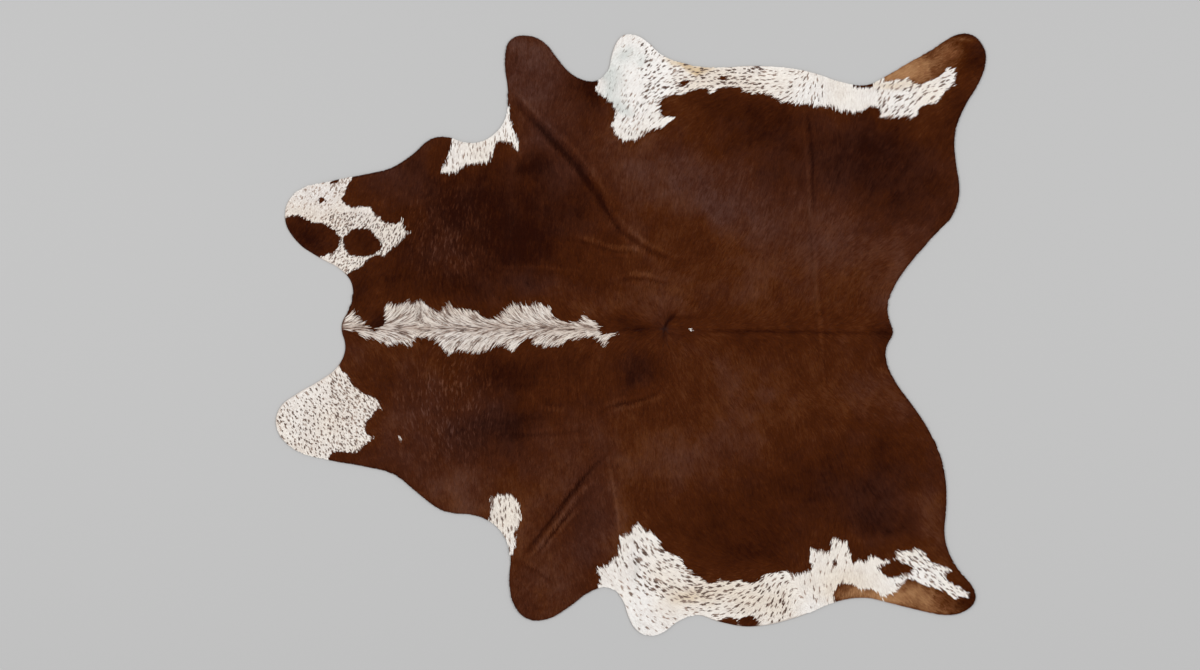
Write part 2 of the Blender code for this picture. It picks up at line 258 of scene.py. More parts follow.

# Soft areas of the coats: ellipses of radii rx and ry that fade out from their middle, and
# the lightness and warmth that they add, in hundredths.  In the brown, the lighter and cooler
# areas are partly painted sheen where the hair catches the light, the rest the coat's own tone
Area = namedtuple("Area", "x y rx ry light warmth")
BROWN_AREAS = table(
    Area,
    # neck and cheeks
    (-346, 336, 110, 95, -20, -4), (-480, 290, 210, 160, -15, 0), (-220, 200, 110, 60, -12, 6),
    (-180, 385, 90, 80, -22, -2), (-350, 250, 120, 80, -10, 2), (-570, 160, 180, 50, -18, 4),
    (-640, 430, 110, 90, -14, -6), (-480, 390, 110, 70, -10, -2), (-690, 480, 60, 50, 4, -12),
    (-540, 260, 60, 50, 4, -10), (-320, 165, 150, 36, 0, -16), (-830, 145, 40, 45, -24, 6),
    (-975, 305, 70, 60, -20, -2), (-800, 275, 70, 50, -16, 6), (-755, 40, 34, 28, -26, -10),
    (-390, -130, 95, 60, -20, -2), (-430, -300, 140, 62, -20, -12), (-560, -260, 130, 100, -2, -12),
    (-690, -310, 90, 80, 8, -14), (-700, -50, 90, 30, 10, 2), (-810, -90, 60, 50, 6, 2),
    (-530, -455, 90, 50, 26, -16), (-440, -510, 80, 40, 18, -14),
    # forelegs and shoulders
    (-280, 505, 60, 32, -24, 8), (-230, 480, 90, 50, 2, -16), (-300, 760, 90, 170, 14, -30),
    (-340, 865, 60, 40, 14, -12), (-140, 740, 70, 55, -34, 2), (-230, 590, 80, 60, -8, -10),
    (-230, -730, 130, 120, 12, -12), (-335, -560, 40, 120, 16, -8), (-110, -500, 130, 150, 0, -12),
    (-30, -540, 40, 110, 22, -2), (-200, -320, 110, 80, 8, -6), (-110, 88, 90, 32, 16, -2),
    (-170, -130, 80, 80, 2, 22), (-70, 215, 90, 50, 0, 20),
    # back and flanks
    (36, -90, 62, 42, -28, -14), (120, 450, 190, 95, 12, -22), (60, 585, 75, 50, 14, -2),
    (0, 500, 60, 60, 8, -6), (20, 275, 40, 40, 15, -12), (95, 130, 90, 70, 20, -4),
    (185, 285, 85, 70, -10, 34), (105, 370, 75, 50, -2, 12), (350, 190, 60, 110, 14, -6),
    (390, 370, 160, 110, -2, -24), (590, 310, 160, 80, 16, -14), (610, 430, 90, 90, 0, -16),
    (524, 66, 280, 170, 7, 6), (500, 15, 210, 60, -4, 20), (560, -180, 250, 120, 6, 2),
    (280, -200, 80, 120, 16, -12), (130, -235, 95, 55, -4, 30), (160, -370, 190, 60, 14, -16),
    (90, -60, 130, 60, 6, 2), (340, -310, 90, 50, 10, -2), (470, -270, 70, 50, -4, 14),
    (390, 640, 120, 75, -24, -2), (250, 700, 100, 50, -6, 12), (650, 530, 160, 95, -26, -14),
    (792, 480, 150, 160, -18, -4), (560, -430, 120, 65, -16, 0), (360, -590, 200, 110, -10, 14),
    (330, -640, 130, 40, -8, 4), (750, -440, 150, 120, -16, -12), (720, -560, 95, 48, -16, -4),
    (900, -530, 50, 95, 22, -6), (850, -350, 70, 60, 0, 12), (790, 240, 100, 60, 8, -12),
    (800, 150, 50, 60, 12, -4), (770, 5, 30, 30, -28, -6), (345, 12, 60, 24, -12, 4),
    (970, 650, 45, 70, -18, 14), (1045, 830, 34, 70, -24, -2), (985, 760, 34, 60, -2, 16),
    (1000, -800, 45, 34, -24, 0), (107, 33, 11, 30, -60, -10),
    # smaller changes, mostly of lightness
    (-500, 400, 75, 90, -14, 2), (-300, 268, 150, 55, -11, 4), (-670, 215, 60, 60, -12, 6),
    (-345, 450, 110, 55, -8, 0), (-980, 300, 90, 60, -16, 10), (5, 32, 60, 30, -16, 10),
    (-370, -255, 130, 42, -14, 0), (-485, -360, 60, 40, -10, -2), (380, 680, 90, 55, -10, 6),
    (770, 580, 60, 70, -12, 0), (480, -450, 150, 60, -10, 6), (700, -500, 75, 80, -9, -12),
    (250, -550, 60, 120, -8, 6), (395, -640, 60, 40, -9, 6), (755, -330, 45, 70, -11, 4),
    (-108, 702, 40, 30, -26, 2), (20, -90, 90, 40, -8, 4), (42, 270, 50, 45, 9, -4),
    (250, 370, 170, 62, 8, -18), (350, 105, 90, 40, 8, -4), (-110, 110, 50, 40, 6, 4),
    (340, -100, 220, 70, 6, 0), (130, -300, 90, 40, 7, 0), (-290, -530, 70, 80, 8, -10),
    (-545, -425, 50, 45, 8, -2), (750, 135, 60, 60, 7, -2), (730, -170, 100, 60, 6, -4),
    (20, -350, 60, 60, 6, 0), (-55, 620, 34, 90, 8, 2), (850, -500, 50, 40, 7, -6),
    (-40, -620, 30, 70, 9, 2), (-500, -530, 110, 30, 10, 4), (-440, 330, 280, 190, -6, 0),
    (-480, 125, 60, 26, -8, 0), (-730, 145, 70, 40, -7, 0), (-340, -85, 170, 36, -10, 0),
    (-300, -230, 80, 50, -10, 0), (-640, 505, 70, 30, -10, 0), (-310, 500, 40, 26, -10, 0),
    (-60, 275, 34, 26, -8, 0), (400, 580, 70, 30, -8, 0), (400, 450, 60, 60, -6, 0),
    (820, 390, 130, 40, -9, 0), (860, 520, 40, 60, -7, 0), (480, -540, 70, 40, -8, 0),
    (800, -570, 60, 30, -10, 0), (300, -640, 110, 70, -5, 0), (250, 300, 320, 130, 5, 0),
    (350, 310, 40, 40, 5, 0), (640, 215, 40, 30, 6, 0), (670, -585, 50, 36, 10, 0),
    (430, -190, 60, 40, 6, 0), (110, -160, 60, 50, 5, 0), (-290, -470, 80, 60, 6, 0),
    (-175, -400, 40, 40, 6, 0), (-70, -540, 40, 50, 6, 0), (130, 700, 40, 30, 8, 0),
    (920, 640, 50, 40, 7, 0),
    # smaller changes, mostly of warmth
    (-290, 760, 110, 120, 0, -16), (-250, 570, 60, 50, 0, -10), (-330, 150, 130, 36, 0, -14),
    (-690, 450, 90, 60, 0, -14), (70, 360, 110, 60, 0, 12), (250, 230, 60, 40, 0, 12),
    (40, 160, 90, 60, 0, 10), (180, -110, 110, 50, 0, 12), (20, -240, 50, 50, 0, 12),
    (600, -250, 140, 200, 0, 10), (300, 690, 260, 40, 0, 12), (-260, 600, 110, 110, 0, -22),
    (-200, 480, 60, 40, 2, -16), (250, 400, 90, 80, 2, -20), (650, 570, 110, 70, 0, -12),
    (-560, 270, 90, 70, 0, -12), (-520, -300, 130, 110, 0, -12), (-720, -370, 110, 50, 0, -10),
    (-110, -560, 70, 110, -5, -20), (845, 330, 70, 70, 0, -12), (430, -165, 70, 40, 0, -10),
    (-385, -215, 60, 50, -6, -20), (-110, 215, 150, 50, 0, 22), (-260, -130, 190, 70, 0, 20),
    (160, -160, 110, 60, 0, 26), (40, -250, 90, 50, 0, 20), (250, 225, 70, 50, 0, 18),
    (480, 5, 190, 60, 0, 14), (570, -110, 90, 90, 0, 12), (110, -540, 130, 90, 0, 16),
    (450, -300, 110, 110, 0, 10), (810, -350, 80, 70, 0, 12), (-385, 560, 50, 50, 0, 20),
    (930, 680, 60, 120, 0, 18),
    # smaller changes of both
    (1010, 835, 50, 46, -20, 20), (975, -795, 62, 24, -12, 10), (-60, 560, 44, 60, 6, -22),
    (-72, 680, 30, 40, 6, -24), (-300, 560, 60, 50, 9, -14), (-345, 840, 40, 60, 8, -12),
    (-200, 790, 50, 50, 3, -14), (-180, -130, 40, 80, -10, 12), (60, -60, 50, 40, -8, 6),
    (20, 35, 50, 26, -8, 4), (-715, -160, 44, 40, -10, -4), (-270, -262, 50, 30, -8, 6),
    (-65, 280, 40, 34, -8, 2), (-605, 380, 34, 60, -9, -2), (-160, 340, 34, 34, -7, 0),
    (-130, 515, 32, 32, -8, 0), (-475, 430, 40, 34, -7, -8), (-445, 320, 26, 60, 9, 0),
    (420, 160, 230, 110, 5, 0), (640, 215, 34, 34, 6, -4), (855, 310, 44, 34, 9, -8),
    (775, 110, 40, 60, 9, -8), (790, -200, 70, 60, 7, -14), (655, 430, 26, 120, 7, -4),
    (710, 280, 50, 70, 2, -14), (650, 620, 80, 50, 3, -12), (360, 490, 320, 36, 0, -12),
    (40, 480, 36, 110, 6, -6), (140, 680, 40, 50, 12, 2), (130, -320, 110, 50, 6, 0),
    (5, -345, 36, 40, 7, 0), (200, -450, 60, 50, 7, -2), (10, -530, 30, 60, 9, 4),
    (160, -650, 50, 36, 12, 8), (670, -590, 50, 34, 9, 0), (620, -450, 70, 30, 5, -8),
    (700, -500, 150, 60, 0, -12), (940, -665, 34, 44, 16, -4), (-335, -610, 40, 90, 9, -4),
    (-190, -400, 60, 60, 5, 0), (-120, -650, 80, 50, 3, -22), (-560, -505, 110, 30, 9, -6),
    (-440, -440, 60, 80, 2, -16), (-460, -240, 90, 50, 0, -12), (-700, 450, 110, 60, -3, -10),
    (-345, -285, 30, 30, 8, 0), (30, -300, 60, 90, 0, 16), (170, -180, 60, 50, 0, 20),
    (230, 260, 110, 50, 0, 22), (430, -430, 60, 60, 0, 14), (190, -660, 130, 50, 0, 18),
    (470, 30, 240, 30, -3, 16), (550, -120, 40, 60, -8, 2), (570, -300, 40, 70, -8, 6),
    (760, 580, 50, 50, -8, 0), (400, 440, 50, 50, -7, -2), (-440, 130, 40, 30, 0, -14),
    (-260, 150, 60, 40, 2, -12), (-400, -130, 60, 40, -9, 6), (-550, -175, 80, 30, -7, -2),
    (-280, 480, 60, 50, -7, 4), (-710, 140, 50, 30, -10, 2), (-480, 120, 50, 26, -8, 0),
    (-600, -370, 30, 30, -7, 0), (-675, -440, 50, 26, -10, 0), (440, -12, 40, 24, -8, 4),
    (620, -60, 44, 34, -8, 2), (735, -20, 40, 30, -8, 0), (945, 440, 36, 60, -9, 6),
    (-180, -570, 60, 34, -10, 0), (-70, -240, 44, 26, 6, 0), (785, -580, 40, 26, -9, 0),
    (265, 240, 50, 30, -8, 4), (455, 140, 24, 50, -8, 2), (-310, -85, 60, 30, -9, 6),
    (-770, 25, 40, 24, -14, 0), (480, 672, 36, 24, 10, 0), (585, 668, 36, 24, 10, -4),
    (925, 690, 36, 40, 10, 0), (860, 300, 40, 30, 7, 0), (-680, 395, 30, 30, 12, 0),
    (435, -180, 50, 40, 6, -4), (770, -110, 40, 30, 6, 0),
)

# The legs behind turn tan along the cut edge
TAN_AREAS = table(
    Area,
    (860, 800, 104, 58, 24, 80), (1000, 893, 36, 11, 20, 40), (800, 785, 60, 30, 16, 50),
    (950, 862, 54, 40, 10, 62), (670, -770, 66, 34, 30, 74), (770, -790, 70, 30, 28, 74),
    (870, -790, 110, 50, 26, 72), (970, -822, 44, 18, 2, 40),
)

# In the white, the cooler and darker areas are painted shade; the warmer ones are stains
WHITE_AREAS = table(
    Area,
    (-860, 340, 230, 190, -5, 6), (-900, -240, 200, 170, -3, 6), (-375, -560, 60, 100, -1, 6),
    (156, 822, 26, 10, -16, 100), (200, 811, 34, 9, -8, 60), (118, 832, 20, 9, -4, 40),
    (270, 772, 220, 50, -3, 16), (600, 720, 160, 60, 0, -4), (-50, 770, 24, 50, -7, -26),
    (-10, 850, 18, 30, -6, -16), (30, 820, 14, 26, -4, -20), (-10, 700, 40, 30, -6, -26),
    (30, 780, 110, 110, 5, -12), (0, -700, 20, 60, -10, -20), (30, -800, 60, 80, 2, -10),
    (190, -785, 60, 26, -6, 26), (300, -780, 200, 60, -3, 15), (640, -735, 110, 50, -2, 16),
    (790, 748, 60, 18, -5, 30), (-960, 415, 60, 34, -2, -14), (-880, 462, 40, 20, -4, 0),
    (-5, 860, 60, 50, -1, -14), (-20, 760, 50, 120, -2, -12), (20, -850, 60, 50, -1, -10),
)

# Dark flecks in the white: where, how far apart, and their length along the hair and width
Flecks = namedtuple("Flecks", "x0 x1 y0 y1 apart length width dark")
FLECKS = table(
    Flecks,
    (-905, -660, 180, 365, 7.2, 6.0, 3.4, 0.80), (-1040, -830, 320, 480, 13.0, 7.0, 3.6, 0.42),
    (-1000, -860, 330, 350, 14.0, 8.0, 4.0, 0.56), (-1065, -740, -390, -80, 10.8, 7.0, 4.4, 0.80),
    (-900, -740, -350, -130, 9.5, 6.0, 3.2, 0.56), (-570, -330, 470, 660, 13.0, 7.0, 3.4, 0.60),
    (-430, -320, -660, -470, 15.5, 11.0, 4.6, 0.78), (-900, -830, 420, 480, 9.0, 6.0, 3.4, 0.60),
    (-100, 40, 600, 890, 20.0, 7.0, 3.2, 0.44), (-30, 100, 590, 720, 15.0, 7.0, 4.2, 0.72),
    (34, 130, 690, 880, 12.0, 8.0, 4.2, 0.84), (130, 400, 720, 840, 12.0, 10.0, 4.2, 0.86),
    (400, 560, 690, 810, 16.0, 11.0, 4.0, 0.72), (740, 980, 640, 800, 14.0, 14.0, 4.2, 0.74),
    (-110, -20, -780, -640, 18.0, 7.0, 3.4, 0.50), (-50, 40, -700, -570, 19.0, 10.0, 5.0, 0.80),
    (20, 260, -790, -610, 16.5, 11.0, 5.0, 0.84), (0, 340, -800, -590, 38.0, 14.0, 9.0, 0.86),
    (-30, 180, -890, -740, 20.0, 8.0, 4.4, 0.60), (170, 480, -870, -690, 15.0, 13.0, 4.2, 0.80),
    (480, 640, -820, -600, 24.0, 12.0, 4.0, 0.60), (790, 1020, -800, -640, 12.0, 9.5, 4.2, 0.80),
)

# ---------------------------------------------------------------------------
# The way the hair lies.  On the back it leaves the spine like a feather; further out
# these strokes lead it: where, how far from the spine, and the lie in degrees, with 0
# towards the tail and 90 away from the spine.  side: 0 for both halves, 1 upper, -1 lower.
# ---------------------------------------------------------------------------

Stroke = namedtuple("Stroke", "x out lie side")
STROKES = table(
    Stroke,
    (-960, 330, 60, 0), (-860, 200, 50, 0), (-780, 330, 60, 0), (-640, 400, 80, 0), (-480, 450, 85, 0),
    (-620, 200, 85, 0), (-400, 200, 92, 0), (-300, 400, 88, 0), (-310, 620, 92, 0), (-310, 820, 90, 0),
    (-150, 650, 70, 0), (-120, 400, 85, 0), (10, 640, 65, 0), (20, 820, 45, 0), (40, 400, 85, 0),
    (130, 700, 20, 0), (230, 780, 4, 0), (370, 790, -8, 1), (460, 770, -36, 1), (330, 800, -26, -1),
    (440, 790, -80, -1), (230, 560, 60, 0), (380, 640, 50, 0), (530, 740, 88, 0), (640, 700, 105, 0),
    (400, 380, 75, 0), (600, 400, 70, 0), (780, 640, 45, 0), (900, 760, 24, 1), (870, 700, 42, -1),
    (950, 750, 40, -1), (1000, 840, 35, 0), (820, 400, 55, 0), (930, 500, 60, 0), (640, 180, 45, 0),
    (760, 150, 30, 0), (300, 200, 60, 0),
)
STROKE_REACH = 95.0         # how far a stroke leads the hair
SPINE_REACH = 46.0          # how fast the hair turns away from the spine
SPINE_LIE = 86.0            # its lie where the spine's lead ends, in degrees
LEAD_ENDS = 130.0           # the strokes take over at this distance from the spine
NECK_MEETING = (-632.0, 26.0)   # hair from the neck and from the back meet here, over this length
BACK_PARTING = (105.0, 14.0)    # hair parts here, towards the neck and towards the tail
WANDER = ((0.16, 0.045, 11), (0.12, 0.016, 12))     # turns in radians, sizes in metres, seeds


def placed(points):
    """Drawn places, in millimetres, as an array in the frame's metres."""
    return (np.asarray(points, float) - DRAWN_MIDDLE) * MM


def ease(share):
    """Smooth step from 0 to 1."""
    share = np.clip(share, 0.0, 1.0)
    return share * share * (3.0 - 2.0 * share)


def lattice(columns, rows):
    """The whole-numbered places of a grid."""
    return np.stack(np.meshgrid(np.arange(columns), np.arange(rows), indexing="ij"), axis=-1).reshape(-1, 2)


def signed_distance(points, ring):
    """Distance of points to a closed ring, above zero inside it."""
    nearest = np.full(len(points), np.inf)
    inside = np.zeros(len(points), bool)
    for start, end in zip(ring, np.roll(ring, -1, axis=0)):
        along = end - start
        gap = points - start
        share = np.clip(gap @ along / max(along @ along, 1e-18), 0.0, 1.0)
        off = gap - share[:, None] * along
        nearest = np.minimum(nearest, off[:, 0] ** 2 + off[:, 1] ** 2)
        if start[1] != end[1]:
            crosses = (start[1] > points[:, 1]) != (end[1] > points[:, 1])
            inside ^= crosses & (gap[:, 0] < along[0] * gap[:, 1] / along[1])
    return np.where(inside, 1.0, -1.0) * np.sqrt(nearest)


def line_distance(points, line):
    """Distance of points to an open line, and the share of its length where they are nearest."""
    nearest = np.full(len(points), np.inf)
    place = np.zeros(len(points))
    lengths = np.linalg.norm(np.diff(line, axis=0), axis=1)
    reached = 0.0
    for start, end, length in zip(line[:-1], line[1:], lengths):
        along = end - start
        gap = points - start
        share = np.clip(gap @ along / length**2, 0.0, 1.0)
        off = gap - share[:, None] * along
        distance = np.hypot(off[:, 0], off[:, 1])
        closer = distance < nearest
        nearest = np.where(closer, distance, nearest)
        place = np.where(closer, (reached + share * length) / lengths.sum(), place)
        reached += length
    return nearest, place


def smooth_through(points, steps, closed):
    """A Catmull-Rom line through points, with so many steps between two of them."""
    points = np.asarray(points, float)
    if closed:
        before, after = np.roll(points, 1, axis=0), np.roll(points, -1, axis=0)
        beyond = np.roll(points, -2, axis=0)
        here = points
    else:
        padded = np.vstack((2 * points[0] - points[1], points, 2 * points[-1] - points[-2]))
        before, after, beyond = padded[:-3], points[1:], padded[3:]
        here = points[:-1]
    square = 2 * before - 5 * here + 4 * after - beyond
    cube = 3 * here - before - 3 * after + beyond
    line = [
        0.5 * (2 * here + (after - before) * t + square * t * t + cube * t**3)
        for t in np.arange(steps) / steps
    ]
    line = np.stack(line, axis=1).reshape(-1, 2)
    return line if closed else np.vstack((line, points[-1]))


def noise(points, size, seed):
    """Smooth noise from -1 to 1 whose blobs are about size metres across."""
    grid = points / size + 1000.0
    cell = np.floor(grid).astype(np.int64)
    share = ease(grid - cell)

    def corner(dx, dy):
        mixed = (cell[:, 0] + dx) * 374761393 + (cell[:, 1] + dy) * 668265263 + seed * 974634777
        mixed = (mixed ^ (mixed >> 13)) * 1274126177
        return ((mixed ^ (mixed >> 16)) & 0xFFFF) / 32767.5 - 1.0

    low = corner(0, 0) * (1 - share[:, 0]) + corner(1, 0) * share[:, 0]
    high = corner(0, 1) * (1 - share[:, 0]) + corner(1, 1) * share[:, 0]
    return low * (1 - share[:, 1]) + high * share[:, 1]


def layered(points, layers):
    """Noise in layers, each of them (strength, size in metres, seed)."""
    return sum(strength * noise(points, size, seed) for strength, size, seed in layers)


def drift(points, size, seed):
    """Noise in both directions, as a vector for each point."""
    return np.stack((noise(points, size, seed), noise(points, size, seed + 1)), axis=1)


# ---------------------------------------------------------------------------
# The hide's outline and relief
# ---------------------------------------------------------------------------


def outline():
    """The edge of the CAD hide's underside, as a ring of points."""
    bm = bmesh.new()
    bm.from_mesh(bpy.data.objects[NODE].data)
    bmesh.ops.remove_doubles(bm, verts=bm.verts, dist=1e-6)
    bm.normal_update()
    neighbours = {}
    for edge in bm.edges:
        if len(edge.link_faces) != 2:
            continue
        one, two = (face.normal.z for face in edge.link_faces)
        if min(one, two) < -0.5 and abs(max(one, two)) < 0.3:
            for vert, other in (edge.verts, reversed(edge.verts)):
                neighbours.setdefault(vert.index, []).append(other.index)
    bm.verts.ensure_lookup_table()
    start = min(neighbours)
    ring, here, before = [start], neighbours[start][0], start
    while here != start:
        ring.append(here)
        step = [index for index in neighbours[here] if index != before]
        before, here = here, step[0]
    points = np.array([bm.verts[index].co[:2] for index in ring])
    bm.free()
    return points


RING = outline()
FINE_RING = smooth_through(RING, 3, closed=True)


class Field:
    """Values worked out on a grid over the hide, read between its points."""

    def __init__(self, work_out, step=4 * MM, margin=40 * MM):
        self.low, self.step = LOW - margin, step
        self.count = np.ceil((HIGH - LOW + 2 * margin) / step).astype(int) + 1
        self.values = work_out(self.low + lattice(*self.count) * step).reshape(*self.count)

    def __call__(self, points):
        grid = np.clip((points - self.low) / self.step, 0, self.count - 1.001)
        cell = grid.astype(int)
        u, v = (grid - cell).T
        i, j = cell.T
        values = self.values
        low = values[i, j] * (1 - u) + values[i + 1, j] * u
        high = values[i, j + 1] * (1 - u) + values[i + 1, j + 1] * u
        return low * (1 - v) + high * v


# The hide never lies quite flat: height in millimetres, size in metres, seed
UNEVEN = ((0.7, 0.21, 3), (0.25, 0.06, 4))


def pleat_height(pleat, share):
    """Height of a pleat's crest along it: up to its peak, then down."""
    return pleat.height * MM * np.where(
        share < pleat.peak, ease(share / pleat.peak), ease((1.0 - share) / (1.0 - pleat.peak))
    )


def relief(points):
    """How far the hide is lifted at each point, and the painted shade of its creases (below zero, their
    painted highlights).
    """
    lift = np.zeros(len(points))
    for pleat in PLEATS:
        distance, share = line_distance(points, smooth_through(placed(pleat.crest), 4, closed=False))
        hump = 0.5 + 0.5 * np.cos(np.pi * np.minimum(distance / (pleat.half_width * MM), 1.0))
        lift = np.maximum(lift, hump * pleat_height(pleat, share))
    for height, size, seed in UNEVEN:
        lift += height * MM * (1.0 + noise(points, size, seed))
    shade = np.zeros(len(points))
    for crease in CREASES:
        distance, share = line_distance(points, smooth_through(placed(crease.line), 4, closed=False))
        ends = np.sin(np.pi * np.clip(share, 0.0, 1.0)) ** 0.5
        section = np.exp(-((distance / (0.6 * crease.half_width * MM)) ** 4)) * ends
        lift += crease.lift * MM * section
        # painted shade along the crease, a painted highlight where its shade is below zero
        shade += crease.shade * section
    return np.maximum(lift, 0.0), shade


def comb(points):
    """The way the hair lies at each point, as unit vectors across the hide."""
    x, y = (points / MM + DRAWN_MIDDLE).T
    half = np.where(y >= SPINE, 1.0, -1.0)
    out = np.abs(y - SPINE)
    meeting, meeting_length = NECK_MEETING
    parting, parting_length = BACK_PARTING
    to_tail = np.where(
        x < 0.5 * (meeting + parting),
        np.tanh((meeting - x) / meeting_length),
        np.tanh((x - parting) / parting_length),
    )
    lie = np.radians(SPINE_LIE) * (1.0 - np.exp(-out / SPINE_REACH))
    near = np.stack((to_tail * np.cos(lie), np.sin(lie) + 0.3 * (1.0 - np.abs(to_tail))), axis=1)

    far = np.zeros_like(near)
    total = np.full(len(points), 1e-9)
    for stroke in STROKES:
        weight = np.exp(-((x - stroke.x) ** 2 + (out - stroke.out) ** 2) / STROKE_REACH**2)
        if stroke.side:
            weight = weight * (half == stroke.side)
        angle = math.radians(stroke.lie)
        far += weight[:, None] * (math.cos(angle), math.sin(angle))
        total += weight
    far /= total[:, None]
    far[:, 1] += 1e-3
    share = ease((out - 0.45 * LEAD_ENDS) / LEAD_ENDS)[:, None]
    both = near * (1.0 - share) + far * share
    both /= np.maximum(np.linalg.norm(both, axis=1), 1e-9)[:, None]
    turn = layered(points, WANDER)
    cosine, sine = np.cos(turn), np.sin(turn)
    x, y = both.T
    return np.stack((x * cosine - y * sine, half * (x * sine + y * cosine)), axis=1)


def streaks(points, lie, size, reach, seed):
    """Noise drawn out along the hair, mostly from -1 to 1: size wide and twice reach long."""
    shares = (-1.0, -0.66, -0.33, 0.0, 0.33, 0.66, 1.0)
    return sum(noise(points + lie * (share * reach), size, seed) for share in shares) / 2.2


def whiteness(points):
    """Distance into the white markings, below zero in the brown."""
    depth = np.full(len(points), -np.inf)
    for edge in WHITE_MARKINGS.values():
        depth = np.maximum(depth, signed_distance(points, placed(edge)))
    for edge in BROWN_ISLANDS.values():
        depth = np.minimum(depth, -signed_distance(points, placed(edge)))
    return depth


EDGE_DISTANCE = Field(lambda points: signed_distance(points, RING), step=6 * MM)
LIFT = Field(lambda points: relief(points)[0])
SHADE = Field(lambda points: relief(points)[1])
WHITE_DEPTH = Field(whiteness)

# ---------------------------------------------------------------------------
# Tones.  Lightness goes from 0, the darkest hair, to 1, the lightest.  Warmth goes from
# 0, cool, to 1, which is tan in the brown coat and stained in the white one.  Light, cool
# brown is partly painted sheen; cool white is painted shade.
# ---------------------------------------------------------------------------

TAN_BEGINS = 0.72           # hair warmer than this turns from brown to tan
BROWN_LIGHT, BROWN_WARMTH = 0.452, 0.50
WHITE_LIGHT, WHITE_WARMTH = 0.91, 0.41
BROWN_LIGHT_NOISE = ((0.06, 0.05, 22), (0.055, 0.022, 23), (0.04, 0.010, 27))
BROWN_WARMTH_NOISE = ((0.10, 0.045, 25), (0.06, 0.015, 28))
WHITE_LIGHT_NOISE = ((0.03, 0.06, 31), (0.03, 0.015, 32))
WHITE_WARMTH_NOISE = ((0.08, 0.09, 33),)
EDGE_WARMTH = 0.26          # brown hair is warmer beside the white,
EDGE_REACH = 30.0 * MM      # about this far into the brown
COOL_BELOW = 0.34           # brown hair cooler than this is speckled darker
AREA_WAVER = ((0.024, 0.07, 61), (0.008, 0.02, 63))


def add_areas(points, areas, light, warmth):
    """Adds soft areas of tone in place, their edges wavering."""
    for strength, size, seed in AREA_WAVER:
        points = points + strength * drift(points, size, seed)
    for area in areas:
        offset = (points - placed((area.x, area.y))) / (np.array((area.rx, area.ry)) * MM)
        weight = np.exp(-1.1 * (offset**2).sum(axis=1))
        light += area.light / 100 * weight
        warmth += area.warmth / 100 * weight


def patches(points, size, seed):
    """Broad patches with plain middles, from -1 to 1."""
    return np.tanh(2.5 * noise(points, size, seed))


def brown_tone(points, shade):
    """Lightness and warmth of the brown coat, before the locks differ."""
    # shade: the creases' painted shade and painted highlights, taken off the lightness
    light = BROWN_LIGHT + 0.02 * patches(points, 0.11, 21) + layered(points, BROWN_LIGHT_NOISE) - shade
    warmth = BROWN_WARMTH + 0.04 * patches(points, 0.13, 24) + layered(points, BROWN_WARMTH_NOISE)
    warmth += EDGE_WARMTH * np.exp(-np.maximum(-WHITE_DEPTH(points), 0.0) / EDGE_REACH)
    add_areas(points, BROWN_AREAS, light, warmth)
    # where the brown is cool, its painted sheen is broken up by darker specks
    cool = np.clip((COOL_BELOW - warmth) / 0.3, 0.0, 1.0)
    light -= 0.10 * cool * (ease((noise(points, 0.009, 26) - 0.2) / 0.5) - 0.2)
    tan = np.zeros(len(points))
    add_areas(points, TAN_AREAS, light, tan)
    warmth = np.clip(warmth, 0.0, TAN_BEGINS - 0.12)
    return light, warmth + tan * (1.05 - warmth)


def white_tone(points, shade):
    """Lightness and warmth of the white coat, before the locks differ."""
    # half of the creases' painted shade and painted highlights reaches the white
    light = WHITE_LIGHT + layered(points, WHITE_LIGHT_NOISE) - 0.5 * shade
    warmth = WHITE_WARMTH + layered(points, WHITE_WARMTH_NOISE)
    add_areas(points, WHITE_AREAS, light, warmth)
    return light, warmth


# ---------------------------------------------------------------------------
# Settings that a user would change
# ---------------------------------------------------------------------------


def length(name, description, default, **more):
    return bpy.props.FloatProperty(
        name=name, description=description, default=default, min=0.0, unit="LENGTH", precision=4, **more
    )


def colour(name, description, default):
    return bpy.props.FloatVectorProperty(
        name=name, description=description, default=default, size=3, min=0.0, max=1.0, subtype="COLOR"
    )


class CowhideSheetSettings(bpy.types.PropertyGroup):
    thickness: length("Leather thickness", "Thickness of the tanned skin without its hair", 0.0025)
    mesh_step: length("Mesh step", "Distance between points of the leather's mesh", 0.0102)
    flesh: colour("Flesh side", "Colour of the suede underside", (0.56, 0.43, 0.30))
    cut: colour("Cut edge", "Colour of the leather where it was cut", (0.62, 0.50, 0.37))


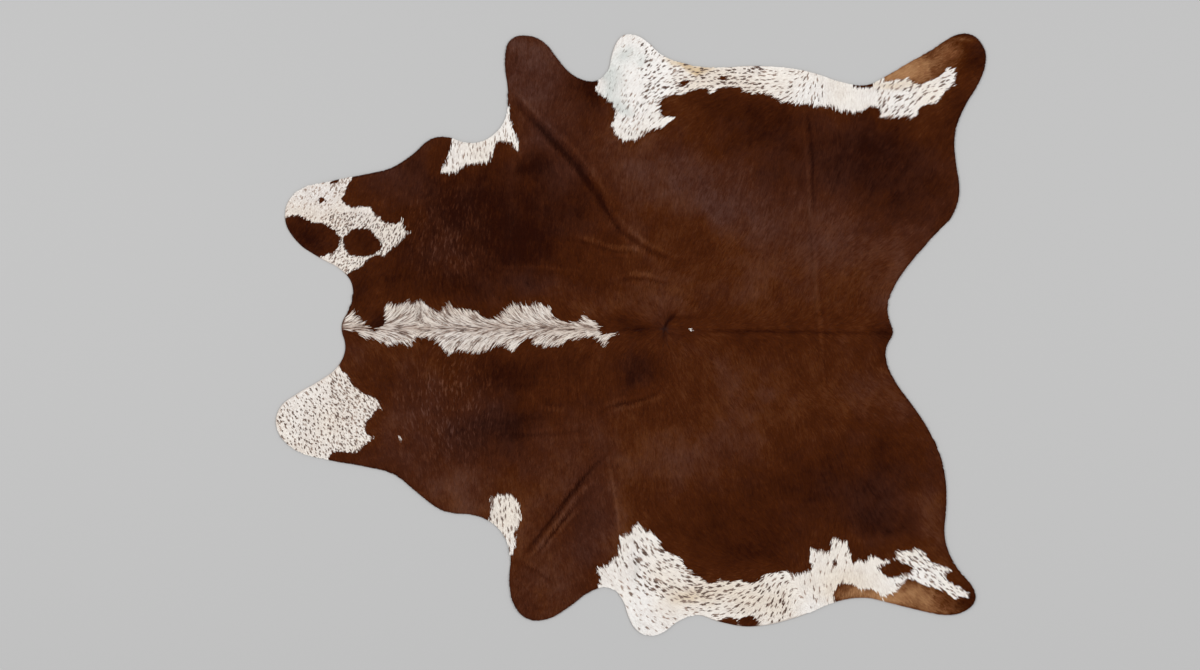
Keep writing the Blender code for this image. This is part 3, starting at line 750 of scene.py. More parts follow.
class CowhideCoatSettings(bpy.types.PropertyGroup):
    apart: length("Lock spacing", "Distance between the roots of two locks", 0.00253)
    lock_length: length("Lock length", "Length of a lock on the back", 0.020)
    lock_width: length("Lock width", "Widest part of a lock", 0.0027)
    ridge: length("Lock ridge", "How far a lock's middle stands above its sides", 0.00035)
    rise: length("Lock rise", "How far a lock's tip stands above its root", 0.0021)
    clump: length("Clump size", "Distance over which locks gather and share their tone", 0.0078)
    seed: bpy.props.IntProperty(name="Seed", description="Start of all random choices", default=7)
    cool_dark: colour("Cool dark", "Darkest hair where the brown is cool", (0.0140, 0.0028, 0.0013))
    cool_middle: colour("Cool middle", "Middle of the cool brown", (0.0600, 0.0182, 0.0104))
    # the light cool brown is partly the coat's own pale hair and partly painted sheen
    cool_light_sheen: colour("Cool light", "Lightest hair where the brown is cool", (0.1280, 0.0590, 0.0450))
    warm_dark: colour("Warm dark", "Darkest hair where the brown is warm", (0.0150, 0.0014, 0.0001))
    warm_middle: colour("Warm middle", "Middle of the warm brown", (0.0640, 0.0130, 0.0012))
    warm_light: colour("Warm light", "Lightest hair where the brown is warm", (0.150, 0.0460, 0.0100))
    tan_dark: colour("Tan dark", "Darkest hair on the legs behind", (0.070, 0.0200, 0.0040))
    tan: colour("Tan", "Middle of the tan on the legs behind", (0.215, 0.0790, 0.0290))
    tan_light: colour("Tan light", "Lightest hair on the legs behind", (0.50, 0.275, 0.130))
    fleck: colour("Fleck", "Darkest hair in the white", (0.070, 0.036, 0.025))
    grey: colour("Grey", "Shaded hair in the white", (0.44, 0.33, 0.27))
    white: colour("White", "Lightest hair in the white", (0.98, 0.965, 0.940))
    # the cool grey and cool white are painted shade in the white coat
    shaded_grey: colour("Cool grey", "Shaded hair where the white is cool", (0.38, 0.39, 0.37))
    shaded_white: colour("Cool white", "Lightest hair where the white is cool", (0.80, 0.82, 0.79))
    stain: colour("Stain", "Yellowed hair in the white", (0.80, 0.62, 0.36))


class CowhideStageSettings(bpy.types.PropertyGroup):
    floor: colour("Floor", "Colour of the studio floor", (0.485, 0.485, 0.485))
    sky: bpy.props.FloatProperty(name="Sky", description="Strength of the even light", default=0.63, min=0.0)
    softbox: bpy.props.FloatProperty(
        name="Softbox", description="Power of each softbox", default=130.0, min=0.0, unit="POWER"
    )
    camera_height: length("Camera height", "Height of the camera above the floor", 8.5)
    view_width: length("View width", "Width of floor that the view takes in", 3.6)


# ---------------------------------------------------------------------------
# Node trees
# ---------------------------------------------------------------------------


def feed(tree, made, inputs):
    """Links a node's inputs from sockets, and sets the others to values."""
    for name, value in inputs.items():
        if isinstance(value, bpy.types.NodeSocket):
            tree.links.new(value, made.inputs[name])
        else:
            made.inputs[name].default_value = value


def node(tree, kind, inputs=(), **settings):
    """A new node with its settings and inputs."""
    made = tree.nodes.new(kind)
    for name, value in settings.items():
        setattr(made, name, value)
    feed(tree, made, dict(inputs))
    return made


def ranged(tree, value, *limits):
    """A value brought from one range to another; limits are from low, from high, to low, to high."""
    names = ("From Min", "From Max", "To Min", "To Max")
    return node(tree, "ShaderNodeMapRange", {"Value": value, **dict(zip(names, limits))}).outputs[0]


def mixed(tree, factor, first, second):
    """Two colours mixed by a factor."""
    return node(tree, "ShaderNodeMix", {0: factor, 6: first, 7: second}, data_type="RGBA").outputs[2]


def grained(tree, scale, detail, roughness=0.5):
    """Noise from 0 to 1 that stays with the piece."""
    place = node(tree, "ShaderNodeTexCoord").outputs["Object"]
    inputs = {"Vector": place, "Scale": scale, "Detail": detail, "Roughness": roughness}
    return node(tree, "ShaderNodeTexNoise", inputs).outputs["Fac"]


def new_group(name, kind, inputs, outputs):
    """A node group with named sockets, and its input and output nodes."""
    tree = bpy.data.node_groups.new(name, kind)
    for socket, (socket_type, default) in inputs.items():
        made = tree.interface.new_socket(socket, in_out="INPUT", socket_type=socket_type)
        if default is not None:
            made.default_value = default
    for socket, socket_type in outputs.items():
        tree.interface.new_socket(socket, in_out="OUTPUT", socket_type=socket_type)
    return tree, tree.nodes.new("NodeGroupInput"), tree.nodes.new("NodeGroupOutput")


def colour_socket(values):
    return (*values, 1.0)


def three_tone_group():
    """Shader group: a dark, a middle and a light colour, chosen by lightness."""
    inputs = {
        "Lightness": ("NodeSocketFloat", 0.5),
        "Dark": ("NodeSocketColor", (0.0, 0.0, 0.0, 1.0)),
        "Middle": ("NodeSocketColor", (0.5, 0.5, 0.5, 1.0)),
        "Light": ("NodeSocketColor", (1.0, 1.0, 1.0, 1.0)),
    }
    outputs = {"Color": "NodeSocketColor"}
    tree, given, result = new_group("three tone hair", "ShaderNodeTree", inputs, outputs)
    value, dark, middle, light = (given.outputs[name] for name in inputs)
    shaded = mixed(tree, ranged(tree, value, 0.0, 0.5), dark, middle)
    tree.links.new(mixed(tree, ranged(tree, value, 0.5, 1.0), shaded, light), result.inputs["Color"])
    return tree


def toned(tree, group, lightness, *colours):
    """The three tone group placed in a material with its own dark, middle and light colours."""
    made = tree.nodes.new("ShaderNodeGroup")
    made.node_tree = group
    tones = dict(zip(("Dark", "Middle", "Light"), map(colour_socket, colours)))
    feed(tree, made, {"Lightness": lightness, **tones})
    return made.outputs["Color"]


def brown_colour(tree, group, lightness, warmth):
    """The brown coat's colour for a lightness and a warmth."""
    coat = bpy.context.scene.cowhide_coat
    cool = toned(tree, group, lightness, coat.cool_dark, coat.cool_middle, coat.cool_light_sheen)
    warm = toned(tree, group, lightness, coat.warm_dark, coat.warm_middle, coat.warm_light)
    tan = toned(tree, group, lightness, coat.tan_dark, coat.tan, coat.tan_light)
    brown = mixed(tree, ranged(tree, warmth, 0.0, TAN_BEGINS), cool, warm)
    return mixed(tree, ranged(tree, warmth, TAN_BEGINS, 1.0), brown, tan)


def white_colour(tree, group, lightness, warmth):
    """The white coat's colour for a lightness and a warmth."""
    coat = bpy.context.scene.cowhide_coat
    clean = toned(tree, group, lightness, coat.fleck, coat.grey, coat.white)
    stained = toned(tree, group, lightness, coat.fleck, coat.grey, coat.stain)
    shaded = toned(tree, group, lightness, coat.fleck, coat.shaded_grey, coat.shaded_white)
    # below warmth 0.3 the white turns to its painted shade
    plain = mixed(tree, ranged(tree, warmth, 0.0, 0.3), shaded, clean)
    return mixed(tree, ranged(tree, warmth, 0.35, 1.0), plain, stained)


def new_material(name):
    material = bpy.data.materials.new(name)
    material.use_nodes = True
    return material, material.node_tree, material.node_tree.nodes["Principled BSDF"]


def hair_material(name, group, colour_of, specular, roughness):
    """A coat's material: each lock's lightness and warmth are kept in its map."""
    material, tree, shader = new_material(name)
    tone = node(tree, "ShaderNodeUVMap", uv_map=BAKE_MAP)
    split = node(tree, "ShaderNodeSeparateXYZ", {0: tone.outputs[0]})
    lightness, warmth = split.outputs[0], split.outputs[1]
    feed(tree, shader, {
        "Base Color": colour_of(tree, group, lightness, warmth),
        "Roughness": ranged(tree, lightness, 0.0, 1.0, roughness + 0.10, roughness - 0.06),
        "Specular IOR Level": specular,
    })
    return material


def skin_material(group):
    """The hair side of the leather, under the locks: the coat's colours on short hair."""
    material, tree, shader = new_material("short undercoat")
    tone = node(tree, "ShaderNodeAttribute", attribute_name="undercoat")
    split = node(tree, "ShaderNodeSeparateColor", {0: tone.outputs["Color"]})
    light, warmth, white = (split.outputs[index] for index in range(3))
    grain = grained(tree, 420.0, 3.0)
    varied = ranged(tree, grain, 0.25, 0.75, -0.12, 0.12)
    added = node(tree, "ShaderNodeMath", {0: light, 1: varied}, operation="ADD", use_clamp=True)
    lightness = added.outputs[0]
    brown = brown_colour(tree, group, lightness, warmth)
    pale = white_colour(tree, group, lightness, warmth)
    bump = node(tree, "ShaderNodeBump", {"Strength": 0.5, "Distance": 0.0008, "Height": grain})
    feed(tree, shader, {
        "Base Color": mixed(tree, white, brown, pale),
        "Roughness": 0.7,
        "Specular IOR Level": 0.1,
        "Normal": bump.outputs[0],
    })
    return material


def suede_material(name, base, nap):
    """Leather without hair: soft blotches, a fine nap and open fibres."""
    material, tree, shader = new_material(name)
    blotch = grained(tree, 7.0, 5.0, 0.6)
    fibre = grained(tree, nap, 4.0, 0.7)
    darker = colour_socket(0.72 * value for value in base)
    lighter = colour_socket(min(1.0, 1.14 * value + 0.02) for value in base)
    soft = mixed(tree, ranged(tree, blotch, 0.3, 0.7), darker, lighter)
    bump = node(tree, "ShaderNodeBump", {"Strength": 0.6, "Distance": 0.0006, "Height": fibre})
    feed(tree, shader, {
        "Base Color": mixed(tree, ranged(tree, fibre, 0.3, 0.7, 0.0, 0.3), soft, darker),
        "Roughness": ranged(tree, fibre, 0.0, 1.0, 0.82, 0.98),
        "Specular IOR Level": 0.25,
        "Sheen Weight": 0.25,
        "Normal": bump.outputs[0],
    })
    return material


LOCK_BELLY = 0.42           # where a lock is widest, as a share of its length
BELLY_RISE = 0.62           # how far its middle has risen there, as a share of its tip's rise
LOCK_ATTRIBUTES = {
    "along": "FLOAT_VECTOR", "up": "FLOAT_VECTOR", "growth": "FLOAT_VECTOR",
    "light": "FLOAT", "warmth": "FLOAT",
}


def lock_tree():
    """Geometry Nodes: lays one pointed, ridged lock on each root and keeps its tone."""
    inputs = {
        "Roots": ("NodeSocketGeometry", None),
        "Length": ("NodeSocketFloat", 0.02),
        "Width": ("NodeSocketFloat", 0.0026),
        "Ridge": ("NodeSocketFloat", 0.0003),
        "Rise": ("NodeSocketFloat", 0.002),
        "Tip Light": ("NodeSocketFloat", 0.1),
        "Material": ("NodeSocketMaterial", None),
    }
    outputs = {"Coat": "NodeSocketGeometry"}
    tree, given, result = new_group("lay locks", "GeometryNodeTree", inputs, outputs)
    roots, long, wide, ridge, rise, tip_light, material = (given.outputs[name] for name in inputs)

    def add(kind, inputs=(), **settings):
        return node(tree, kind, inputs, **settings).outputs[0]

    def maths(operation, first, second=0.0):
        return add("ShaderNodeMath", {0: first, 1: second}, operation=operation)

    def point(x=0.0, y=0.0, z=0.0):
        return add("ShaderNodeCombineXYZ", {0: x, 1: y, 2: z})

    def split(vector):
        return node(tree, "ShaderNodeSeparateXYZ", {0: vector}).outputs

    def named(name, kind=None):
        kind = kind or LOCK_ATTRIBUTES[name]
        return add("GeometryNodeInputNamedAttribute", {"Name": name}, data_type=kind)

    def stored(geometry, name, value, **settings):
        inputs = {"Geometry": geometry, "Name": name, "Value": value}
        return add("GeometryNodeStoreNamedAttribute", inputs, **settings)

    # One lock: a square whose corners become its root, its two sides and its tip
    belly = maths("MULTIPLY", long, LOCK_BELLY)
    side = maths("MULTIPLY", wide, 0.5)
    low = maths("SUBTRACT", maths("MULTIPLY", rise, BELLY_RISE), ridge)
    other_side = maths("MULTIPLY", side, -1.0)
    corners = (point(), point(belly, side, low), point(belly, other_side, low), point(long, 0.0, rise))
    choose = node(tree, "GeometryNodeIndexSwitch", data_type="VECTOR")
    while len(choose.index_switch_items) < len(corners):
        choose.index_switch_items.new()
    feed(tree, choose, {"Index": add("GeometryNodeInputIndex"), **dict(enumerate(corners, 1))})
    square = add("GeometryNodeMeshGrid", {"Vertices X": 2, "Vertices Y": 2})
    shaped = add("GeometryNodeSetPosition", {"Geometry": square, "Position": choose.outputs[0]})
    place = split(add("GeometryNodeInputPosition"))
    strand = point(maths("DIVIDE", place[0], long), maths("DIVIDE", place[1], wide))
    marked = stored(shaped, "strand", strand, data_type="FLOAT_VECTOR", domain="POINT")
    lock = add("GeometryNodeTriangulate", {"Mesh": marked}, quad_method="FIXED")

    # Every root gets one, turned along its lie
    forward = add("FunctionNodeAlignRotationToVector", {"Vector": named("along")}, axis="X")
    lean = {"Rotation": forward, "Vector": named("up")}
    upright = add("FunctionNodeAlignRotationToVector", lean, axis="Z", pivot_axis="X")
    growth = {"Points": roots, "Instance": lock, "Rotation": upright, "Scale": named("growth")}
    real = add("GeometryNodeRealizeInstances", {"Geometry": add("GeometryNodeInstanceOnPoints", growth)})

    # Its tone goes into the map: lightness, a little lighter at the tip with painted shade toward the root,
    # and warmth
    along = split(named("strand", "FLOAT_VECTOR"))
    gradient = maths("MULTIPLY", maths("SUBTRACT", along[0], 0.6), tip_light)
    lightness = maths("ADD", named("light"), gradient)
    warmth = maths("ADD", named("warmth"), maths("MULTIPLY", along[1], 0.02))
    mapped = stored(real, BAKE_MAP, point(lightness, warmth), data_type="FLOAT2", domain="CORNER")
    painted = add("GeometryNodeSetMaterial", {"Geometry": mapped, "Material": material})
    tree.links.new(painted, result.inputs["Coat"])
    return tree


# ---------------------------------------------------------------------------
# The coat's roots
# ---------------------------------------------------------------------------

Roots = namedtuple("Roots", "place along up growth light warmth")

TEETH = 5.0 * MM            # how far strands of one colour reach into the other
OVERHANG = 2.5 * MM         # how far a tip reaches past the cut edge
FROM_EDGE = 0.6 * MM        # no root is nearer to the cut edge
SEEN_AT = 0.55              # a lock is seen about here, as a share of its length
LEAN = 0.35                 # how strongly a lock leans on its clump's middle
TURN, ROLL = 0.13, 0.10     # spread of the locks' lie and of their roll, in radians

# A lock's length and width vary by these shares, and its root's height by these millimetres
LENGTHS = (0.78, 1.18)
WIDTHS = (0.8, 1.25)
HEIGHTS = (-0.2, 0.7)
SHORTEST = 0.22             # the shortest lock at the edge, as a share of the usual one
SHORTEST_INSIDE = 0.36      # and the shortest one away from it
STRIPE_WIDTH = 0.75         # locks on the stripe are this much narrower

# Hair is longer or shorter in places: by what share, and the places in millimetres
SPINE_LONGER, SPINE_WIDTH, SPINE_ENDS = 0.45, 60.0, -30.0
LEGS_SHORTER, LEGS_BEGIN, LEGS_OVER = 0.25, 650.0, 150.0
CHEEKS_SHORTER, CHEEKS_BEGIN, CHEEKS_OVER = 0.50, -660.0, 70.0
WHITE_SHORTER, WHITE_OVER = 0.15, 8.0
MARKS_SHORTER, MARKS_RADIUS = 0.6, 13.0
SMALL_MARKS = ((180, 12), (-690, -310))

# Streaks along the hair: their width and reach, and a seed
THREAD = (2.9 * MM, 13.0 * MM, 51)
GLINT = (3.2 * MM, 6.0 * MM, 54)
FINE = (2.0 * MM, 10.0 * MM, 53)
STRAND = (1.8 * MM, 11.0 * MM, 52)

# How far single locks differ in tone
THREAD_LIGHT, CLUMP_LIGHT, LOCK_LIGHT, LOCK_WARMTH = 0.06, 0.03, 0.04, 0.04
WHITE_THREAD_LIGHT, WHITE_DARKER = 0.03, 0.02
EDGE_DARKER, EDGE_LINE = 0.22, 3.0 * MM     # the coat darkens at the cut edge, so far in
# the darker root is painted shade, where it lies under the tips of other locks
TIP_LIGHT = 0.10            # how much lighter a lock's tip is than its root
TONE_MARGIN = 0.06          # room that the tips' lighter tone needs in the map

# On the two sides of the neck, single clumps catch the light: middle and radii
NECK_SIDES = ((-545, 300, 150, 170), (-540, -210, 160, 180))
GLINT_LIGHT, GLINT_WARMTH = 0.34, -0.12

# The stripe along the back: its box, how grey it is on the spine and all over, and the painted shadow
# between its strands
STRIPE_START, STRIPE_END, STRIPE_HALF = -880, -20, 110
SPINE_GREY, EVEN_GREY, STRAND_SHADOW = 0.16, 0.10, 0.72
STRIPE_WARMER = 0.05

# Flecks differ in size and strength by these shares, and lie a little over the white
FLECK_SIZES = (0.45, 1.25)
FLECK_STRENGTHS = (0.6, 1.1)
FLECK_LIFT = 0.6 * MM


def hair_growth(points, depth):
    """Length of the hair as a share of the coat's usual lock: longer on the spine, short on legs."""
    x, y = (points / MM).T
    out = np.abs(y - SPINE)
    share = np.ones(len(points))
    on_spine = np.exp(-((out / SPINE_WIDTH) ** 2))
    share += SPINE_LONGER * on_spine * ((x < SPINE_ENDS) & (depth > -4 * MM))
    share -= LEGS_SHORTER * ease((np.abs(y) - LEGS_BEGIN) / LEGS_OVER)
    share -= CHEEKS_SHORTER * ease((CHEEKS_BEGIN - x) / CHEEKS_OVER) * ease((out - 100.0) / 60.0)
    share -= WHITE_SHORTER * ease(depth / (WHITE_OVER * MM)) * ease((out - 150.0) / 60.0)
    for mark in SMALL_MARKS:
        near = np.exp(-((points - placed(mark)) ** 2).sum(axis=1) / (MARKS_RADIUS * MM) ** 2)
        share -= MARKS_SHORTER * near
    return np.maximum(share, SHORTEST_INSIDE)


def clumps(places, size):
    """Gathers places in clumps: the clump of each place, and the clumps' middles."""
    cell = np.floor((places + 0.45 * size * drift(places, 0.011, 41)) / size).astype(np.int64)
    of_clump = np.unique(cell, axis=0, return_inverse=True)[1].reshape(-1)
    members = np.bincount(of_clump)
    middles = [np.bincount(of_clump, weights=places[:, axis]) / members for axis in (0, 1)]
    return of_clump, np.stack(middles, axis=1)


def upward(places):
    """The hide's normal at each place."""
    nudge = 2.0 * MM
    slope = [
        (LIFT(places + np.array(step)) - LIFT(places - np.array(step))) / (2 * nudge)
        for step in ((nudge, 0.0), (0.0, nudge))
    ]
    up = np.column_stack((-slope[0], -slope[1], np.ones(len(places))))
    return up / np.linalg.norm(up, axis=1)[:, None]


def grow_roots(coat):
    """Places a root for every lock of the coat; returns the brown and the white ones."""
    rng = np.random.default_rng(coat.seed)
    grid = lattice(*np.ceil((HIGH - LOW) / coat.apart).astype(int))
    places = LOW + (grid + rng.uniform(0.02, 0.98, grid.shape)) * coat.apart
    places = places[EDGE_DISTANCE(places) > FROM_EDGE]
    count = len(places)

    # Locks gather in clumps: a clump shares its lie and tone, and its locks lean on its middle.
    of_clump, middles = clumps(places, coat.clump)
    usual = coat.lock_length
    clump_lie = comb(middles)[of_clump]
    clump_growth = hair_growth(middles, whiteness(middles))[of_clump]
    combed = comb(places)
    lie = clump_lie * 0.5 + combed * 0.5
    lean = middles[of_clump] + clump_lie * usual - places
    lie = lie + LEAN * lean / usual - LEAN * lie
    angle = np.arctan2(lie[:, 1], lie[:, 0]) + rng.normal(0.0, TURN, count)
    lie = np.stack((np.cos(angle), np.sin(angle)), axis=1)

    growth = clump_growth * rng.uniform(*LENGTHS, count)
    tip = EDGE_DISTANCE(places + lie * (usual * growth)[:, None])
    here = EDGE_DISTANCE(places)
    shrink = np.where(tip < -OVERHANG, (here + OVERHANG) / np.maximum(here - tip, 1e-6), 1.0)
    growth *= np.clip(shrink, SHORTEST, 1.0)

    length = (usual * growth)[:, None]
    seen = places + lie * (SEEN_AT * length)
    thread = streaks(seen, combed, *THREAD)
    glint = streaks(seen, combed, *GLINT)
    fine = streaks(seen, combed, *FINE)
    reach = TEETH * clump_growth * (0.4 * thread + 0.8 * fine)
    white = WHITE_DEPTH(seen) + reach + rng.normal(0.0, 0.6 * MM, count) > 0.0

    lift = LIFT(places)
    up = upward(places)
    along = np.column_stack((lie, (LIFT(places + lie * length) - lift) / length[:, 0]))
    up = up + np.cross(up, along) * rng.normal(0.0, ROLL, count)[:, None]
    height = bpy.context.scene.cowhide_sheet.thickness + lift + rng.uniform(*HEIGHTS, count) * MM
    place = np.column_stack((places, height))

    # painted shade and painted highlights of the creases, for the locks' tone
    shade = SHADE(places)
    clump_light = rng.normal(0.0, 1.0, of_clump.max() + 1)[of_clump]
    lock_light = rng.normal(0.0, 1.0, count)
    edge_line = np.exp(-((np.maximum(EDGE_DISTANCE(seen), 0.0) / EDGE_LINE) ** 2))

    light, warmth = brown_tone(seen, shade)
    light += THREAD_LIGHT * thread + CLUMP_LIGHT * clump_light + LOCK_LIGHT * lock_light
    light -= EDGE_DARKER * edge_line
    warmth += LOCK_WARMTH * rng.normal(0.0, 1.0, count)
    streak = on_neck_sides(seen) * ease((glint - 0.65) / 0.35)
    light += GLINT_LIGHT * streak
    warmth += GLINT_WARMTH * streak

    pale_light, pale_warmth = white_tone(seen, shade)
    pale_light += WHITE_THREAD_LIGHT * thread + LOCK_LIGHT * lock_light - WHITE_DARKER
    grey_stripe(seen, combed, pale_light, pale_warmth)
    flecks = fleck_darkness(seen, white, rng)
    pale_light -= flecks
    place[:, 2] += FLECK_LIFT * np.minimum(flecks, 1.0)

    light = np.clip(np.where(white, pale_light, light), TONE_MARGIN, 1.0 - TONE_MARGIN)
    warmth = np.clip(np.where(white, pale_warmth, warmth), 0.02, 0.98)
    width = rng.uniform(*WIDTHS, count) * np.where(on_stripe(seen) & white, STRIPE_WIDTH, 1.0)
    growth = np.column_stack((growth, width, np.minimum(growth, 1.0)))
    roots = Roots(place, along, up, growth, light, warmth)
    return [Roots(*(values[chosen] for values in roots)) for chosen in (~white, white)]


def on_neck_sides(points):
    """1 on the sides of the neck, fading to 0 elsewhere."""
    share = np.zeros(len(points))
    for x, y, rx, ry in NECK_SIDES:
        offset = (points - placed((x, y))) / (np.array((rx, ry)) * MM)
        share = np.maximum(share, np.exp(-((offset**2).sum(axis=1) ** 2)))
    return share


def on_stripe(points):
    """Where the white stripe along the back lies."""
    x, y = (points / MM).T
    out = np.abs(y + DRAWN_MIDDLE[1] - SPINE)
    return (x > STRIPE_START) & (x < STRIPE_END) & (out < STRIPE_HALF)


def grey_stripe(points, combed, light, warmth):
    """Greys the white stripe along the spine, and paints shadow between its fine strands, in place."""
    there = np.flatnonzero(on_stripe(points))
    points = points[there]
    out = np.abs(points[:, 1] / MM + DRAWN_MIDDLE[1] - SPINE)
    strand = streaks(points, combed[there], *STRAND)
    tip = np.exp(-np.maximum(WHITE_DEPTH(points), 0.0) / (7.0 * MM))
    on_spine = np.exp(-((out / 12.0) ** 2))
    # the grey on the spine and all over, and the painted shadow between strands
    grey = SPINE_GREY * on_spine + EVEN_GREY + STRAND_SHADOW * ease((strand + 0.12) / 0.8)
    light[there] -= grey * (1.0 - 0.6 * tip)
    warmth[there] += STRIPE_WARMER


def fleck_darkness(points, white, rng):
    """How much the flecks darken each point of the white coat."""
    dark = np.zeros(len(points))
    chosen = np.flatnonzero(white)
    here = points[chosen]
    added = np.zeros(len(chosen))
    for field in FLECKS:
        low, high = placed((field.x0, field.y0)), placed((field.x1, field.y1))
        apart, reach = field.apart * MM, field.length * MM
        radii = 0.5 * np.array((field.length, field.width)) * MM
        grid = lattice(*np.ceil((high - low) / apart).astype(int))
        middles = low + (grid + rng.uniform(0.0, 1.0, grid.shape)) * apart
        sizes = rng.uniform(*FLECK_SIZES, len(middles))
        strengths = rng.uniform(*FLECK_STRENGTHS, len(middles)) * field.dark
        for middle, size, strength, lie in zip(middles, sizes, strengths, comb(middles)):
            offset = here - middle
            near = np.flatnonzero((np.abs(offset) < reach).all(axis=1))
            if not len(near):
                continue
            turned = offset[near] @ np.array((lie, (-lie[1], lie[0]))).T
            hit = near[((turned / (size * radii)) ** 2).sum(axis=1) < 1.0]
            added[hit] = np.maximum(added[hit], strength)
    dark[chosen] = added
    return dark


# ---------------------------------------------------------------------------
# The pieces
# ---------------------------------------------------------------------------

UNDER_BROWN, UNDER_WHITE = 0.06, 0.15       # the short undercoat is darker than the coat by these
BROWN_PIECES = ("brown_coat_neck", "brown_coat_shoulder", "brown_coat_loin", "brown_coat_rump")
WHITE_PIECE = "white_coat"


def finished(name, mesh):
    """A finished piece in the scene, riding on the rug's one body."""
    piece = bpy.data.objects.new(name, mesh)
    bpy.context.scene.collection.objects.link(piece)
    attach(piece, BODY)
    return piece


def store(mesh, name, kind, values):
    """Adds a point attribute to a mesh."""
    attribute = mesh.attributes.new(name, kind, "POINT")
    field = {"FLOAT": "value", "FLOAT_VECTOR": "vector", "FLOAT_COLOR": "color"}[kind]
    attribute.data.foreach_set(field, np.ascontiguousarray(values, np.float32).ravel())


def hide_points(step):
    """Points inside the hide for its mesh: a triangular lattice."""
    row_step = step * math.sqrt(3.0) / 2.0
    width, depth = HIGH - LOW
    grid = lattice(int(width / step) + 2, int(depth / row_step) + 1)
    inner = LOW + grid * (step, row_step)
    inner[:, 0] += np.where(grid[:, 1] % 2 == 1, 0.5 * step, 0.0)
    return inner[EDGE_DISTANCE(inner) > 0.55 * step]


def hide_mesh(step):
    """The hide's hair side as a triangle mesh, lying on its folds."""
    points = np.vstack((FINE_RING, hide_points(step)))
    edge_count = len(FINE_RING)
    edges = [(index, (index + 1) % edge_count) for index in range(edge_count)]
    flat, _, faces, _, _, _ = delaunay_2d_cdt([Vector(p) for p in points], edges, [], 1, 1e-7)
    flat = np.array([tuple(p) for p in flat])

    bm = bmesh.new()
    verts = [bm.verts.new((x, y, z)) for (x, y), z in zip(flat, LIFT(flat))]
    for face in faces:
        bm.faces.new([verts[index] for index in face])
    bmesh.ops.delete(bm, geom=[v for v in bm.verts if not v.link_faces], context="VERTS")
    bmesh.ops.remove_doubles(bm, verts=bm.verts, dist=1e-6)
    bmesh.ops.recalc_face_normals(bm, faces=bm.faces)
    if sum(face.normal.z for face in bm.faces) < 0.0:
        bmesh.ops.reverse_faces(bm, faces=bm.faces)
    mesh = bpy.data.meshes.new("hide_leather")
    bm.to_mesh(mesh)
    bm.free()
    mesh.shade_smooth()
    return mesh


def colour_undercoat(mesh):
    """Keeps the coat's lightness, warmth and whiteness in the leather's points."""
    places = np.empty(len(mesh.vertices) * 3, np.float32)
    mesh.vertices.foreach_get("co", places)
    places = places.reshape(-1, 3)[:, :2].astype(float)
    white = ease(0.5 + whiteness(places) / (8 * MM))
    shade = SHADE(places)
    brown_light, brown_warmth = brown_tone(places, shade)
    pale_light, pale_warmth = white_tone(places, shade)
    brown_light -= UNDER_BROWN
    pale_light -= UNDER_WHITE
    light = brown_light * (1.0 - white) + pale_light * white
    warmth = brown_warmth * (1.0 - white) + pale_warmth * white
    values = np.column_stack((light, warmth, white, np.ones(len(places))))
    store(mesh, "undercoat", "FLOAT_COLOR", np.clip(values, 0.0, 1.0))


class COWHIDE_OT_lay_hide(bpy.types.Operator):
    """Lay the tanned hide on its folds, with the flesh side down"""

    bl_idname = "cowhide.lay_hide"
    bl_label = "Lay the Hide"

    def execute(self, context):
        sheet = context.scene.cowhide_sheet
        mesh = hide_mesh(sheet.mesh_step)
        colour_undercoat(mesh)
        mesh.materials.append(skin_material(three_tone_group()))
        mesh.materials.append(suede_material("flesh side", sheet.flesh, 900.0))
        mesh.materials.append(suede_material("cut leather", sheet.cut, 1500.0))
        piece = finished("hide_leather", mesh)
        thicken = piece.modifiers.new("thickness", "SOLIDIFY")
        thicken.thickness = sheet.thickness
        thicken.offset = 1.0
        thicken.material_offset = 1
        thicken.material_offset_rim = 2
        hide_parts(NODE)
        return {"FINISHED"}


def lay_locks(name, roots, material, tree):
    """One piece of the coat: its roots become locks, and the result a plain mesh."""
    coat = bpy.context.scene.cowhide_coat
    mesh = bpy.data.meshes.new(name + "_roots")
    mesh.vertices.add(len(roots.place))
    mesh.vertices.foreach_set("co", np.ascontiguousarray(roots.place, np.float32).ravel())
    for field, kind in LOCK_ATTRIBUTES.items():
        store(mesh, field, kind, getattr(roots, field))
    maker = bpy.data.objects.new(name + "_roots", mesh)
    bpy.context.scene.collection.objects.link(maker)
    modifier = maker.modifiers.new("lay locks", "NODES")
    modifier.node_group = tree
    sizes = {
        "Length": coat.lock_length, "Width": coat.lock_width, "Ridge": coat.ridge, "Rise": coat.rise,
        "Tip Light": TIP_LIGHT, "Material": material,
    }
    for socket in tree.interface.items_tree:
        if socket.in_out == "INPUT" and socket.name in sizes:
            modifier[socket.identifier] = sizes[socket.name]
    grown = maker.evaluated_get(bpy.context.evaluated_depsgraph_get())
    made = bpy.data.meshes.new_from_object(grown)
    made.name = name
    bpy.data.objects.remove(maker)
    bpy.data.meshes.remove(mesh)
    for attribute in ("strand", *LOCK_ATTRIBUTES):
        if attribute in made.attributes:
            made.attributes.remove(made.attributes[attribute])
    return finished(name, made)


class COWHIDE_OT_grow_coat(bpy.types.Operator):
    """Grow the brown coat in four widths of the hide, and the white coat with its flecks"""

    bl_idname = "cowhide.grow_coat"
    bl_label = "Grow the Coat"

    def execute(self, context):
        brown, white = grow_roots(context.scene.cowhide_coat)
        group = bpy.data.node_groups["three tone hair"]
        tree = lock_tree()
        brown_hair = hair_material("brown hair", group, brown_colour, specular=0.02, roughness=0.5)
        white_hair = hair_material("white hair", group, white_colour, specular=0.1, roughness=0.6)
        order = np.argsort(brown.place[:, 0], kind="stable")
        for name, chosen in zip(BROWN_PIECES, np.array_split(order, len(BROWN_PIECES))):
            part = Roots(*(values[chosen] for values in brown))
            lay_locks(name, part, brown_hair, tree)
        lay_locks(WHITE_PIECE, white, white_hair, tree)
        bpy.data.node_groups.remove(tree)
        return {"FINISHED"}


